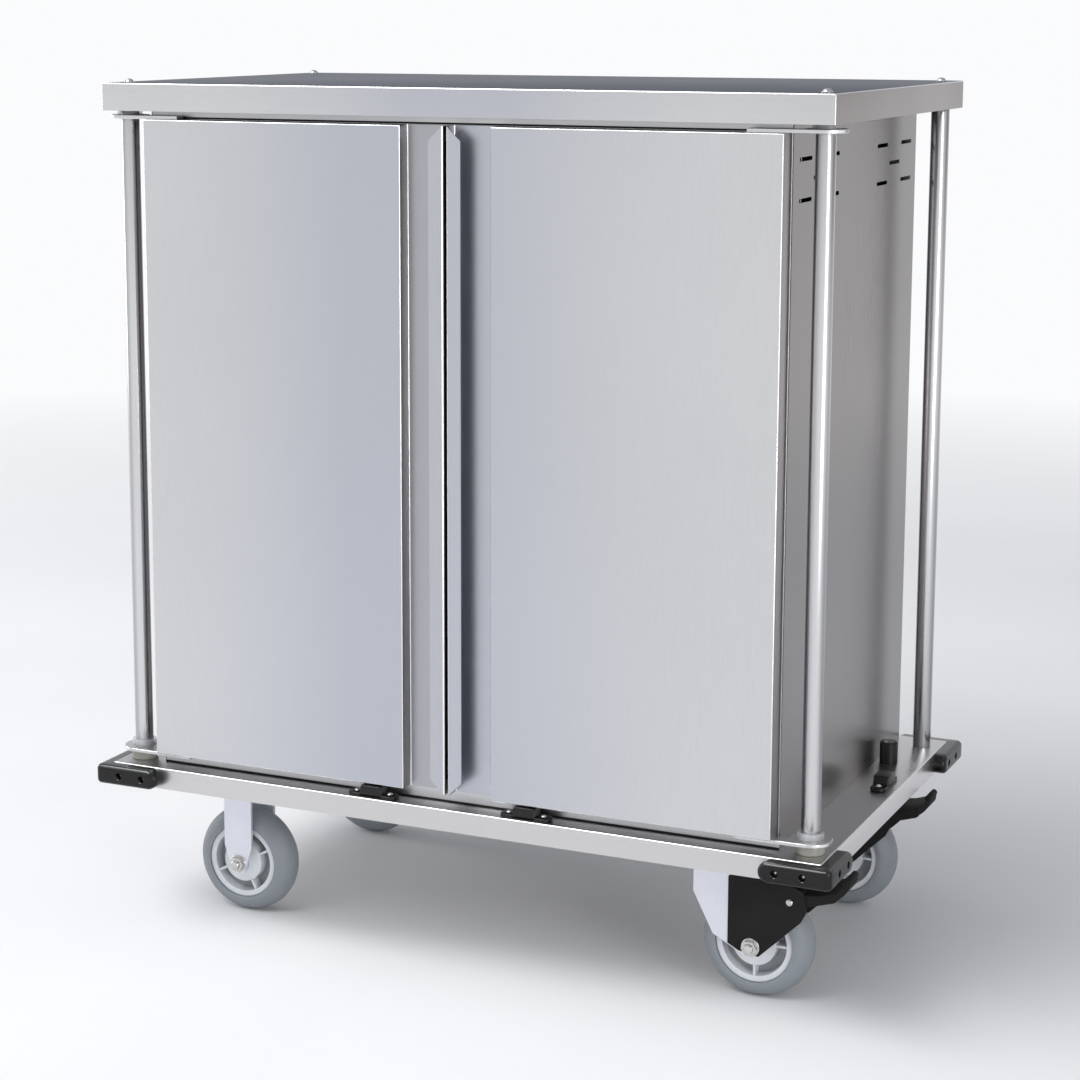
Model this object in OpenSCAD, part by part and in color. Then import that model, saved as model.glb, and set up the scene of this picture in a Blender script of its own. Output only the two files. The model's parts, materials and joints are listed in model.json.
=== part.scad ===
// Enclosed meal tray cart: a two-door stainless cabinet on a deck, with four corner
// posts, a canopy, corner bumpers, two rigid casters and two braked swivel casters.
// Millimetres. The origin is on the floor under the middle of the cart:
// +X is to the right as seen from the doors, +Y is to the back, +Z is up.

/* [Deck] */
// Length of the deck
deck_l = 1050; // [940:5:1200]
// Depth of the deck from front to back
deck_w = 604; // [540:2:700]
// Height of the deck's turned-down skirt
skirt_h = 30; // [28:1:34]
// Thickness of the deck and canopy sheet
sheet_t = 1.5; // [1:0.1:2.5]
// Width of the long rails that carry the casters
rail_w = 112; // [106:2:140]
// Height of the long rails under the deck sheet
rail_h = 36; // [35:1:45]
// Thickness of the rail metal
rail_t = 3; // [2:0.5:4]
// Width of the cross rails between the long rails
cross_w = 60; // [40:5:90]
// Height of the cross rails
cross_h = 28; // [18:1:30]
// Distance between neighbouring cross rails
cross_pitch = 300; // [200:10:380]

/* [Posts and canopy] */
// Outer diameter of a corner post
post_d = 25.4; // [20:0.1:30]
// Wall thickness of a corner post
post_wall = 1.65; // [1.2:0.05:2.5]
// Free length of a post, from the deck to the canopy sheet
post_len = 957; // [800:5:1200]
// Distance from the deck's end to a post's axis
post_inset_x = 27.4; // [25:0.2:32]
// Distance from the deck's front or back edge to a post's axis
post_inset_y = 40.3; // [38:0.5:46]
// Length of the threaded plug in each end of a post
plug_len = 30; // [20:1:60]
// Diameter of the bolts into the post ends
post_bolt_d = 9.5; // [6:0.5:12]
// Diameter of the domed bolt heads on the canopy
dome_d = 15; // [13:0.5:20]
// Height of the domed bolt heads
dome_h = 5; // [3:0.5:8]
// Distance from the deck's edges in to the canopy's edges
canopy_inset = 5; // [0:0.5:10]
// Height of the canopy's turned-down fascia
fascia_h = 37.5; // [30:0.5:40]

/* [Cabinet] */
// Distance from the deck's ends in to the cabinet's end panels
cabinet_inset = 66; // [64:0.5:80]
// Distance from the deck's front edge to the cabinet's front face
cabinet_setback = 34; // [32:0.5:40]
// Distance from the deck's rear edge in to the cabinet's back
cabinet_back_inset = 23; // [10:0.5:50]
// Thickness of the cabinet's panels
panel_t = 1.5; // [1:0.1:3]
// Depth of the frame around the door openings
frame_d = 11; // [8:0.5:16]
// Height of the frame's sill
sill_h = 34; // [30:1:60]
// Height of the frame's head, below the canopy sheet
head_h = 59; // [54:1:90]
// Thickness of the hollow centre divider
divider_t = 25; // [16:1:40]
// Length of a vent slot
vent_l = 50; // [20:1:54]
// Height of a vent slot
vent_h = 5; // [3:0.5:10]
// Distance between neighbouring vent slots along the panel
vent_pitch_y = 57; // [55:0.5:64]
// Distance between the rows of vent slots
vent_pitch_z = 25.5; // [12:0.5:40]
// Distance from the canopy sheet to the lower row of vent slots
vent_drop = 132.5; // [110:0.5:160]
// Distance from an end panel's front and back edges to the middle of a vent group
vent_inset = 106.5; // [86:0.5:140]

/* [Tray racks] */
// Number of tray levels in each bay
levels = 7; // [3:1:7]
// Distance from one tray level to the next
level_pitch = 133.35; // [90:0.05:140]
// Height of the lowest tray level above the cabinet floor
first_level = 45; // [30:1:90]
// Gap between the door frame and the front ends of the ledges
ledge_setback = 12; // [4:1:40]
// Width of a tray ledge
ledge_w = 24; // [12:1:40]
// Height of a tray ledge
ledge_h = 10; // [6:1:20]
// Thickness of the ledge and upright metal
ledge_t = 1.5; // [1:0.1:3]
// Thickness of a rack upright, from its panel to its inner face
upright_t = 28; // [10:1:40]
// Width of a rack upright, from front to back
upright_w = 25; // [15:1:60]

/* [Doors] */
// Thickness of a door
door_t = 25.4; // [18:0.2:27]
// Strip of cabinet front left uncovered beside each door
door_margin = 3.5; // [1:0.5:10]
// Gap between the two doors
door_gap = 7; // [4:0.5:14]
// Height of a door's bottom edge above the deck
door_lift = 19; // [19:0.5:30]
// Distance from the canopy's lower edge down to a door's top edge
door_drop = 11; // [8:0.5:30]
// Gap between a door's back and the cabinet's front
door_standoff = 3.6; // [3.4:0.1:6]
// Thickness of a door's sheet
door_sheet_t = 1.5; // [1:0.1:1.8]
// Width of the recess beside a door's pull
recess_w = 61; // [45:1:90]
// Depth of the recess beside a door's pull
recess_d = 22; // [12:0.5:22]
// Width of the pull's turned-out lip
lip_w = 19.5; // [10:0.5:25]
// Thickness of a door gasket
gasket_t = 3.2; // [2:0.1:3.3]
// Width of a door gasket
gasket_w = 10; // [6:0.5:12]
// Distance from a door's edge to its gasket
gasket_inset = 2; // [1:0.5:4]

/* [Hinges] */
// Thickness of a hinge plate
hinge_t = 5; // [3:0.5:6]
// Reach of a hinge plate along the door from the post's axis
hinge_reach = 92; // [75:1:160]
// Radius of a hinge plate's round end
hinge_r = 28; // [24:0.5:30]
// Wall thickness of a hinge bushing
bushing_wall = 3; // [2:0.1:5]
// Height of a hinge bushing's collar above its plate
collar_h = 9; // [4:0.5:15]
// Wall thickness of a hinge bushing's collar
collar_wall = 4.6; // [3:0.1:6]
// Wall thickness of the nylon spacers on the front posts
spacer_wall = 6; // [4:0.5:8]
// Play between a hinge bushing and its post, on the radius
hinge_play = 0.05; // [0.02:0.01:0.1]
// Play between a hinge plate and the spacer that carries it
lift_play = 0.3; // [0.1:0.1:1]

/* [Stops and catches] */
// Diameter of a door stop
stop_d = 25.4; // [20:0.2:28]
// Height of a door stop
stop_h = 30; // [22:1:50]
// Distance from a front post's axis in to a stop's axis
stop_offset = 21; // [20.6:0.2:24]
// Distance from a front post's axis back to a stop's axis
stop_reach = 425.7; // [380:0.5:450]
// Length of a door catch
catch_l = 72; // [60:1:90]
// Depth of a door catch
catch_w = 22; // [18:0.5:26]
// Thickness of a door catch's ears
catch_ear_h = 5.5; // [3:0.5:8]
// Height of a door catch's wedge
catch_h = 17; // [10:0.5:18]
// Length of a door catch's wedge at its foot
catch_wedge_l = 36; // [20:1:38]
// Length of a door catch's wedge at its top
catch_top_l = 29; // [10:1:34]
// Distance between a door catch's screws
catch_screw_gap = 50; // [46:0.5:54]
// Distance of the front catches from the middle of the cart
catch_x = 114; // [60:2:300]
// Distance from the deck's front edge to a front catch's middle
catch_inset = 13.5; // [13:0.5:20]
// Distance from a front post's axis back to an end catch's middle
end_catch_reach = 314.7; // [260:0.5:350]
// Distance from a front post's axis out to an end catch's middle
end_catch_offset = 4.4; // [0:0.2:8]
// Diameter of a catch screw's shank
catch_screw_d = 4; // [3:0.5:6]

/* [Bumpers] */
// Length of a bumper's arm from its outer corner
bumper_arm = 98; // [92:1:140]
// Thickness of a bumper
bumper_t = 18.6; // [14:0.2:30]
// Height of a bumper
bumper_h = 28; // [22:0.5:30]
// Drop of a bumper's top below the deck's top
bumper_drop = 1; // [0:0.5:2]
// Radius of a bumper's long outer edges
bumper_edge_r = 5; // [2:0.5:8]
// Distance from a bumper's outer corner to its first screw
bumper_screw_a = 38; // [32:0.5:42]
// Distance from a bumper's outer corner to its second screw
bumper_screw_b = 75; // [62:0.5:78]
// Diameter of a bumper screw's head
bumper_head_d = 9; // [7:0.5:12]
// Diameter of a bumper screw's shank
bumper_shank_d = 5; // [3:0.5:6]

/* [Casters] */
// Height of a caster from the floor to its mounting face
caster_h = 190.5; // [188:0.5:210]
// Distance from the deck's ends in to the middle of a caster plate
caster_inset_x = 159; // [140:1:200]
// Distance from the deck's front and rear edges in to the middle of a caster plate
caster_inset_y = 109; // [98:1:120]
// Offset of a swivel wheel's axle from its kingpin
trail = 43; // [35:1:45]
// Length of a caster's top plate
plate_l = 114; // [100:1:120]
// Width of a caster's top plate
plate_w = 102; // [90:1:104]
// Thickness of a caster's top plate
plate_t = 4; // [3:0.5:6]
// Distance between the plate's bolts along the plate
bolt_gap_l = 88; // [76:1:94]
// Distance between the plate's bolts across the plate
bolt_gap_w = 76; // [66:1:84]
// Diameter of a caster bolt
bolt_d = 8; // [6:0.5:10]
// Thickness of a fork's legs
fork_t = 5; // [3:0.5:6]
// Distance between a fork's legs
fork_gap = 60; // [59:0.5:64]
// Width of a rigid fork's leg
fork_leg_w = 44; // [34:1:60]
// Diameter of an axle
axle_d = 12.7; // [10:0.1:16]
// Width across the flats of an axle's nut and head
nut_af = 19; // [17:0.5:24]
// Height of an axle's nut and head
nut_h = 8; // [5:0.5:12]
// Diameter of a swivel race
race_d = 76; // [60:1:78]
// Diameter of a kingpin
kingpin_d = 12; // [10:0.5:16]
// Play of each turning fit in the casters, on the radius
turn_play = 0.05; // [0.02:0.01:0.1]

/* [Wheels] */
// Diameter of a wheel
wheel_d = 152.4; // [148:0.2:156]
// Width of a tyre
tyre_w = 50; // [38:1:52]
// Radius of a tyre's rounded tread
tread_r = 26; // [26:0.5:40]
// Outer radius of a wheel core
core_r = 53; // [48:0.5:56]
// Width of the core's rim ring, on the radius
rim_w = 8.5; // [6:0.5:12]
// Radius of the core's hub disc
hub_disc_r = 30; // [22:0.5:36]
// Radius of the core's hub boss
hub_boss_r = 16; // [13:0.5:20]
// Length of the hub
hub_l = 56; // [52:0.5:58]
// Width of the core at its rim and ribs
core_w = 44; // [34:1:48]
// Thickness of the core's web
web_t = 10; // [6:0.5:16]
// Thickness of a core's rib
rib_t = 3.5; // [2:0.5:8]
// Wall thickness of the sleeve that a wheel turns on
sleeve_wall = 3.15; // [2:0.05:5]

/* [Brakes] */
// Thickness of a brake side plate
brake_t = 2; // [1.5:0.5:3]
// Forward distance from the kingpin to the pedal's pivot
pivot_x = 95; // [92:0.5:98]
// Height of the pedal's pivot above the axle
pivot_rise = 68.8; // [67:0.1:71]
// Diameter of the pedal's pivot pin
pivot_d = 6; // [4:0.5:8]
// Radius of the cam round the pedal's pivot
cam_r = 6; // [4.5:0.1:6.5]
// Gap between the cam and the tyre with the pedal pressed
cam_gap = 0.8; // [0.4:0.1:2]
// Angle through which the pedal is pressed, in degrees
pedal_travel = 20; // [10:1:25]
// Thickness of a pedal's side arm
arm_t = 3; // [2:0.5:5]
// Gap between the pedal and the brake side plates
arm_gap = 0.5; // [0.3:0.1:1.5]
// Diameter of the rolled bar at the pedal's tip
tip_d = 9; // [6:0.5:12]

/* [Hidden] */
$fn = 64;
eps = 0.01;

// Levels and faces
deck_bottom = caster_h + rail_h;
deck_top = deck_bottom + sheet_t;
skirt_bottom = deck_top - skirt_h;
canopy_bottom = deck_top + post_len;
canopy_top = canopy_bottom + sheet_t;
fascia_bottom = canopy_top - fascia_h;
post_x = deck_l / 2 - post_inset_x;
post_y = deck_w / 2 - post_inset_y;
canopy_l = deck_l - 2 * canopy_inset;
canopy_w = deck_w - 2 * canopy_inset;
cabinet_l = deck_l - 2 * cabinet_inset;
cabinet_d = deck_w - cabinet_setback - cabinet_back_inset;
cabinet_front = -deck_w / 2 + cabinet_setback;
cabinet_back = cabinet_front + cabinet_d;
floor_top = deck_top + panel_t;
roof_bottom = canopy_bottom - panel_t;
frame_back = cabinet_front + frame_d;
inner_x = cabinet_l / 2 - panel_t;
inner_back = cabinet_back - panel_t;

// Doors
door_front = cabinet_front - door_standoff - door_t;
door_back = cabinet_front - door_standoff;
door_outer = cabinet_l / 2 - door_margin;
door_inner = door_gap / 2;
door_bottom = deck_top + door_lift;
door_top = fascia_bottom - door_drop;
door_h = door_top - door_bottom;

// Door openings: as wide as the clear space between the racks
bay_inner = divider_t / 2 + upright_t;
bay_outer = inner_x - upright_t;

// Holes and clearances
bolt_play = 0.2;
press_play = 0.02;
rail_play = 6;
screw_end_play = 1;
sleeve_play = 0.1;
hinge_bore_d = post_d + 2 * hinge_play + 2 * bushing_wall;

// Stops and end catches, under the open door
stop_x = post_x - stop_offset;
stop_y = stop_reach - post_y;
end_catch_x = post_x + end_catch_offset;
end_catch_y = end_catch_reach - post_y;

// Bolts and screws: width of a hex over its shank, heights of heads, lengths past the sheet
hex_ratio = 1.8;
base_head_h = 6;
bolt_reach = 26;
screw_reach = 6;
screw_dome_h = 3;
catch_head_ratio = 2.2;
rivet_head_ratio = 1.9;
rivet_dome_h = 2.5;
bolt_head_h = 5;
bolt_nut_h = 6;
bolt_end = 3;
axle_end = 4;

// Casters
caster_x = deck_l / 2 - caster_inset_x;
caster_y = deck_w / 2 - caster_inset_y;
axle_z = wheel_d / 2;
wheel_x = caster_x + trail;
plate_bottom = caster_h - plate_t;
race_space = 14;
race_h = 8;
race_step = 4;
crown_top = plate_bottom - race_space;
crown_t = 6;
crown_bottom = crown_top - crown_t;
kingpin_head_d = 2 * kingpin_d;
kingpin_head_h = 4;
fork_out = fork_gap / 2 + fork_t;
sleeve_od = axle_d + 2 * turn_play + 2 * sleeve_wall;
pivot_z = axle_z + pivot_rise;
cam_w = 20;
cam_throw = norm([pivot_x - trail, pivot_rise]) - wheel_d / 2 - cam_r - cam_gap;

// A fork's leg: half width and depth of its foot below the axle, and where it tapers
leg_foot_w = 10;
leg_foot_drop = 13;
leg_taper_h = 26;
yoke_shoulder_h = 65;
yoke_knee = [10, 10];
yoke_heel_w = 16;

// Outlines in X and Z: a brake plate's foot from the axle, its nose and its top from the
// pivot, and a pedal's arm and tread from the pivot
brake_foot = [[-32, 1], [-17, -7], [11, -12]];
brake_nose = [[16, -25], [24, -9], [18, 16]];
brake_back = 11;
brake_corner = 3;
bridge_x = 66;
bridge_l = 20;
bridge_play = 1;
eye_r = 9;
boss_wall = 2.5;
pedal_tip = [77.5, 36];
arm_outline = [
    [-3, 8.5], [2, -8.8], [33, -1], [59, 7], [69, 17], [81.5, 34], [75.5, 40], [60, 26], [40, 14]
];
tread_outline = [
    [16, 8], [40, 11], [62, 23], [77.5, 38], [75.5, 40], [60, 26], [40, 14], [16, 11]
];

// A box centred on the Z axis, standing at height z
module slab(l, w, h, z) translate([-l / 2, -w / 2, z]) cube([l, w, h]);

// The same piece at both ends of the cart
module both_ends() {
    children();
    mirror([1, 0, 0]) children();
}

// The same piece at the front and at the back
module front_and_back() {
    children();
    mirror([0, 1, 0]) children();
}

// A bar along Y between two heights of Y, round
module rod_y(d, y0, y1, sides = $fn) translate([0, y0, 0]) rotate([-90, 0, 0])
    cylinder(d = d, h = y1 - y0, $fn = sides);

// An outline in X and Z, made solid from y0 to y1
module plate_xz(y0, y1) translate([0, y1, 0]) rotate([90, 0, 0])
    linear_extrude(height = y1 - y0) children();

// A flat with semicircular ends, centred
module stadium(l, h) {
    square([l - h, h], center = true);
    for (s = [-1, 1]) translate([s * (l - h) / 2, 0]) circle(d = h);
}

// ---- Deck and its frame ----

module bumper_screw_spots() {
    // Spots on a corner's two skirt faces, for the corner at +X and -Y
    x0 = deck_l / 2 + bumper_t;
    y0 = deck_w / 2 + bumper_t;
    z = deck_top - bumper_drop - bumper_h / 2;
    for (s = [bumper_screw_a, bumper_screw_b]) {
        translate([x0 - s, -deck_w / 2, z]) rotate([90, 0, 0]) children();
        translate([deck_l / 2, -y0 + s, z]) rotate([0, 90, 0]) children();
    }
}

module all_bumper_screw_spots() front_and_back() both_ends() bumper_screw_spots() children();

module catch_screw_spots() {
    for (s = [-1, 1]) both_ends() {
        translate([catch_x + s * catch_screw_gap / 2, -deck_w / 2 + catch_inset, deck_top]) children();
        translate([end_catch_x, end_catch_y + s * catch_screw_gap / 2, deck_top]) children();
    }
}

module post_spots() both_ends() front_and_back() translate([post_x, -post_y, 0]) children();

// The deck's flat sheet
module deck_pan() color("lightgray") difference() {
    slab(deck_l, deck_w, sheet_t, deck_bottom);
    post_spots() translate([0, 0, deck_bottom - 1])
        cylinder(d = post_bolt_d + 2 * bolt_play, h = sheet_t + 2);
    catch_screw_spots() translate([0, 0, -sheet_t - 1])
        cylinder(d = catch_screw_d + 2 * bolt_play, h = sheet_t + 2, $fn = 24);
}

// The deck's four turned-down sides, the end ones between the long ones
module deck_skirts() color("lightgray") difference() {
    h = skirt_h - sheet_t;
    end_w = deck_w - 2 * sheet_t - 2 * press_play;
    union() {
        front_and_back() translate([-deck_l / 2, -deck_w / 2, skirt_bottom]) cube([deck_l, sheet_t, h]);
        both_ends() translate([deck_l / 2 - sheet_t, -end_w / 2, skirt_bottom])
            cube([sheet_t, end_w, h]);
    }
    all_bumper_screw_spots() translate([0, 0, -sheet_t - 1])
        cylinder(d = bumper_shank_d + 2 * bolt_play, h = sheet_t + 2, $fn = 24);
}

module caster_spots() both_ends() front_and_back() translate([caster_x, -caster_y, 0]) children();

module caster_bolt_spots() for (i = [-1, 1], j = [-1, 1])
    translate([i * bolt_gap_l / 2, j * bolt_gap_w / 2, 0]) children();

rail_l = deck_l - 2 * sheet_t - 2 * rail_play;

module long_rails() color("silver") difference() {
    front_and_back() translate([-rail_l / 2, -caster_y - rail_w / 2, caster_h])
        difference() {
            cube([rail_l, rail_w, rail_h]);
            translate([-1, rail_t, rail_t]) cube([rail_l + 2, rail_w - 2 * rail_t, rail_h]);
        }
    caster_spots() caster_bolt_spots() translate([0, 0, caster_h - 1])
        cylinder(d = bolt_d + 2 * bolt_play, h = rail_t + 2, $fn = 32);
    // Relief for the ends of the catch screws, where a rail's wall stands under one
    catch_screw_spots() translate([0, 0, -sheet_t - screw_reach - screw_end_play])
        cylinder(d = catch_screw_d + 2 * bolt_play, h = screw_reach + screw_end_play + sheet_t, $fn = 24);
}

module cross_rails() {
    span = 2 * caster_y - rail_w;
    color("silver") for (i = [-1:1]) translate([i * cross_pitch - cross_w / 2, -span / 2, 0])
        translate([0, 0, deck_bottom - cross_h]) difference() {
            cube([cross_w, span, cross_h]);
            translate([rail_t, -1, rail_t]) cube([cross_w - 2 * rail_t, span + 2, cross_h]);
        }
}

// ---- Posts and canopy ----

module post() translate([0, 0, deck_top]) difference() {
    cylinder(d = post_d, h = post_len);
    translate([0, 0, plug_len]) cylinder(d = post_d - 2 * post_wall, h = post_len - 2 * plug_len);
    for (z = [-1, post_len - plug_len - 1]) translate([0, 0, z])
        cylinder(d = post_bolt_d + 2 * press_play, h = plug_len + 2);
}

module front_posts() color("gainsboro") both_ends() translate([post_x, -post_y, 0]) post();

module rear_posts() color("gainsboro") both_ends() translate([post_x, post_y, 0]) post();

module canopy() color("lightgray") difference() {
    slab(canopy_l, canopy_w, fascia_h, fascia_bottom);
    slab(canopy_l - 2 * sheet_t, canopy_w - 2 * sheet_t, fascia_h, fascia_bottom - sheet_t);
    post_spots() translate([0, 0, canopy_bottom - 1])
        cylinder(d = post_bolt_d + 2 * bolt_play, h = sheet_t + 2);
}

// A shallow dome: the cap of a sphere that is d wide and h high
module dome(d, h) {
    r = (d * d / 4 + h * h) / (2 * h);
    rotate_extrude() intersection() {
        translate([0, h - r]) circle(r = r, $fn = 96);
        square([d, h]);
    }
}

module post_cap_bolts() color("silver") post_spots() translate([0, 0, canopy_top]) {
    dome(dome_d, dome_h);
    translate([0, 0, -sheet_t - bolt_reach]) cylinder(d = post_bolt_d, h = sheet_t + bolt_reach + 1);
}

module post_base_bolts() color("silver") post_spots() translate([0, 0, deck_bottom]) {
    translate([0, 0, -base_head_h]) cylinder(d = hex_ratio * post_bolt_d, h = base_head_h, $fn = 6);
    translate([0, 0, -1]) cylinder(d = post_bolt_d, h = bolt_reach + sheet_t + 1);
}

// ---- Cabinet ----

// One group of five slots: four at the corners and one in the middle
module vent_slots(x0, x1) for (j = [-1, 0, 1], k = [-1, 0, 1]) if (abs(j) == abs(k))
    translate([x0, j * vent_pitch_y, k * vent_pitch_z]) rotate([90, 0, 90])
        linear_extrude(height = x1 - x0) stadium(vent_l, vent_h);

module end_panel() difference() {
    translate([inner_x, cabinet_front, deck_top]) cube([panel_t, cabinet_d, post_len]);
    for (s = [-1, 1])
        translate([0, (cabinet_front + cabinet_back) / 2 + s * (cabinet_d / 2 - vent_inset), 0])
            translate([0, 0, canopy_bottom - vent_drop + vent_pitch_z])
                vent_slots(inner_x - 1, inner_x + panel_t + 1);
}

module right_end_panel() color("darkgray") end_panel();

module left_end_panel() color("darkgray") mirror([1, 0, 0]) end_panel();

module back_panel() color("darkgray") translate([-inner_x, inner_back, deck_top])
    cube([2 * inner_x, panel_t, post_len]);

module cabinet_floor() color("silver") translate([-inner_x, cabinet_front, deck_top])
    translate([0, frame_d, 0]) cube([2 * inner_x, cabinet_d - frame_d - panel_t, panel_t]);

module cabinet_roof() color("silver") translate([-inner_x, cabinet_front, roof_bottom])
    translate([0, frame_d, 0]) cube([2 * inner_x, cabinet_d - frame_d - panel_t, panel_t]);

module center_divider() {
    depth = inner_back - frame_back;
    height = roof_bottom - floor_top;
    color("silver") translate([0, frame_back + depth / 2, 0]) difference() {
        slab(divider_t, depth, height, floor_top);
        slab(divider_t - 2 * panel_t, depth - 2 * panel_t, height + 2, floor_top - 1);
    }
}

// The outline of the front frame, grown inwards into its openings by g
module frame_outline(g) difference() {
    translate([-inner_x + g, deck_top + g]) square([2 * (inner_x - g), post_len - 2 * g]);
    for (s = [0, 1]) mirror([s, 0])
        translate([bay_inner - g, deck_top + sill_h - g])
            square([bay_outer - bay_inner + 2 * g, post_len - sill_h - head_h + 2 * g]);
}

module front_frame() color("lightgray") difference() {
    plate_xz(cabinet_front, frame_back) frame_outline(0);
    plate_xz(cabinet_front + panel_t, frame_back + 1) frame_outline(panel_t);
}

// ---- Tray racks ----

// A C-section upright with its open side against the panel at x = 0, its face towards +X
module upright(h) difference() {
    cube([upright_t, upright_w, h]);
    translate([-1, ledge_t, -1]) cube([upright_t - ledge_t + 1, upright_w - 2 * ledge_t, h + 2]);
}

module bay_uprights() for (y = [frame_back, inner_back - upright_w]) {
    h = roof_bottom - floor_top;
    translate([divider_t / 2, y, floor_top]) upright(h);
    translate([inner_x, y, floor_top]) mirror([1, 0, 0]) upright(h);
}

module rack_uprights() color("silver") both_ends() bay_uprights();

// A ledge folded down on both long sides
module ledge() {
    depth = inner_back - frame_back - ledge_setback;
    difference() {
        cube([ledge_w, depth, ledge_h]);
        translate([ledge_t, -1, -1]) cube([ledge_w - 2 * ledge_t, depth + 2, ledge_h - ledge_t + 1]);
    }
}

module bay_ledges() for (n = [0:levels - 1]) {
    z = floor_top + first_level + n * level_pitch - ledge_h;
    translate([bay_inner, frame_back + ledge_setback, z]) ledge();
    translate([bay_outer - ledge_w, frame_back + ledge_setback, z]) ledge();
}

module right_bay_ledges() color("silver") bay_ledges();

module left_bay_ledges() color("silver") mirror([1, 0, 0]) bay_ledges();

// ---- Bumpers ----

// A bumper arm from the outer corner at the origin towards +X, its back face at y = bumper_t
module bumper_arm() intersection() {
    plate_xz(-1, bumper_t + 1) {
        translate([bumper_arm - bumper_h / 2, bumper_h / 2]) circle(d = bumper_h);
        square([bumper_arm - bumper_h / 2, bumper_h]);
    }
    translate([-1, 0, 0]) rotate([90, 0, 90]) linear_extrude(height = bumper_arm + 2) {
        for (z = [bumper_edge_r, bumper_h - bumper_edge_r])
            translate([bumper_edge_r, z]) circle(r = bumper_edge_r);
        translate([0, bumper_edge_r]) square([bumper_t, bumper_h - 2 * bumper_edge_r]);
        translate([bumper_edge_r, 0]) square([bumper_t - bumper_edge_r, bumper_h]);
    }
}

// The L-shaped bumper of the corner at +X and -Y, in place
module bumper() difference() {
    translate([deck_l / 2 + bumper_t, -deck_w / 2 - bumper_t, deck_top - bumper_drop - bumper_h]) {
        mirror([1, 0, 0]) bumper_arm();
        rotate([0, 0, 90]) bumper_arm();
    }
    bumper_screw_spots() {
        translate([0, 0, -1]) cylinder(d = bumper_shank_d + 2 * bolt_play, h = bumper_t + 2, $fn = 24);
        translate([0, 0, bumper_t / 2]) cylinder(d = bumper_head_d + 2 * bolt_play, h = bumper_t, $fn = 32);
    }
}

module bumper_front_right() color("#262626") bumper();

module bumper_front_left() color("#262626") mirror([1, 0, 0]) bumper();

module bumper_rear_right() color("#262626") mirror([0, 1, 0]) bumper();

module bumper_rear_left() color("#262626") mirror([0, 1, 0]) mirror([1, 0, 0]) bumper();

module bumper_screws() color("silver") all_bumper_screw_spots() {
    translate([0, 0, bumper_t / 2]) dome(bumper_head_d, screw_dome_h);
    translate([0, 0, -screw_reach])
        cylinder(d = bumper_shank_d, h = bumper_t / 2 + screw_reach + 1, $fn = 24);
}

// ---- Catches and stops ----

// A catch centred on the origin, its length along X
module catch_body() difference() {
    union() {
        slab(catch_l, catch_w, catch_ear_h, 0);
        plate_xz(-catch_w / 2, catch_w / 2) polygon([
            [-catch_wedge_l / 2, 0], [catch_wedge_l / 2, 0],
            [catch_top_l / 2, catch_h], [-catch_top_l / 2, catch_h]
        ]);
    }
    for (s = [-1, 1]) translate([s * catch_screw_gap / 2, 0, -1])
        cylinder(d = catch_screw_d + 2 * bolt_play, h = catch_ear_h + 2, $fn = 24);
}

module door_catches() color("#262626") both_ends() {
    translate([catch_x, -deck_w / 2 + catch_inset, deck_top]) catch_body();
    translate([end_catch_x, end_catch_y, deck_top]) rotate([0, 0, 90]) catch_body();
}

module catch_screws() color("white") catch_screw_spots() {
    translate([0, 0, catch_ear_h]) dome(catch_head_ratio * catch_screw_d, screw_dome_h);
    translate([0, 0, -sheet_t - screw_reach])
        cylinder(d = catch_screw_d, h = catch_ear_h + sheet_t + screw_reach + 1, $fn = 24);
}

module door_stops() color("#262626") both_ends()
    translate([stop_x, stop_y, deck_top]) cylinder(d = stop_d, h = stop_h);

// ---- Hinges ----

// Nylon spacers: one under each bottom hinge plate, one over each top hinge plate
module hinge_spacers() color("beige") both_ends() translate([post_x, -post_y, 0]) difference() {
    union() {
        translate([0, 0, deck_top])
            cylinder(d = post_d + 2 * spacer_wall, h = door_lift - hinge_t - lift_play);
        translate([0, 0, door_top + hinge_t + collar_h + lift_play])
            cylinder(d = post_d + 2 * spacer_wall,
                     h = canopy_bottom - door_top - hinge_t - collar_h - lift_play);
    }
    translate([0, 0, deck_top - 1]) cylinder(d = post_d + 2 * press_play, h = post_len + 2);
}

// The outline of a hinge plate in X and Y, for the door at +X
module hinge_outline() difference() {
    union() {
        translate([post_x, -post_y]) circle(r = hinge_r);
        translate([post_x - hinge_reach, -post_y - hinge_r])
            square([hinge_reach, door_back + post_y + hinge_r]);
    }
    translate([post_x, -post_y]) circle(d = hinge_bore_d + 2 * press_play);
}

module hinge_plates() for (z = [door_bottom - hinge_t, door_top])
    translate([0, 0, z]) linear_extrude(height = hinge_t) hinge_outline();

module hinge_bushings() translate([post_x, -post_y, 0]) difference() {
    for (z = [door_bottom - hinge_t, door_top]) translate([0, 0, z]) {
        cylinder(d = hinge_bore_d, h = hinge_t + collar_h);
        translate([0, 0, hinge_t]) cylinder(d = post_d + 2 * collar_wall, h = collar_h);
    }
    cylinder(d = post_d + 2 * hinge_play, h = canopy_top);
}

// ---- Doors ----

// The outline of the door at +X seen from above, shrunk by g; its back stays open
module door_outline(g) {
    x0 = door_inner + recess_w;
    translate([x0 + g, door_front + g]) square([door_outer - x0 - 2 * g, door_t - 2 * g]);
    translate([door_inner + g, door_front + recess_d + g])
        square([door_outer - door_inner - 2 * g, door_t - recess_d - 2 * g]);
}

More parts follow.
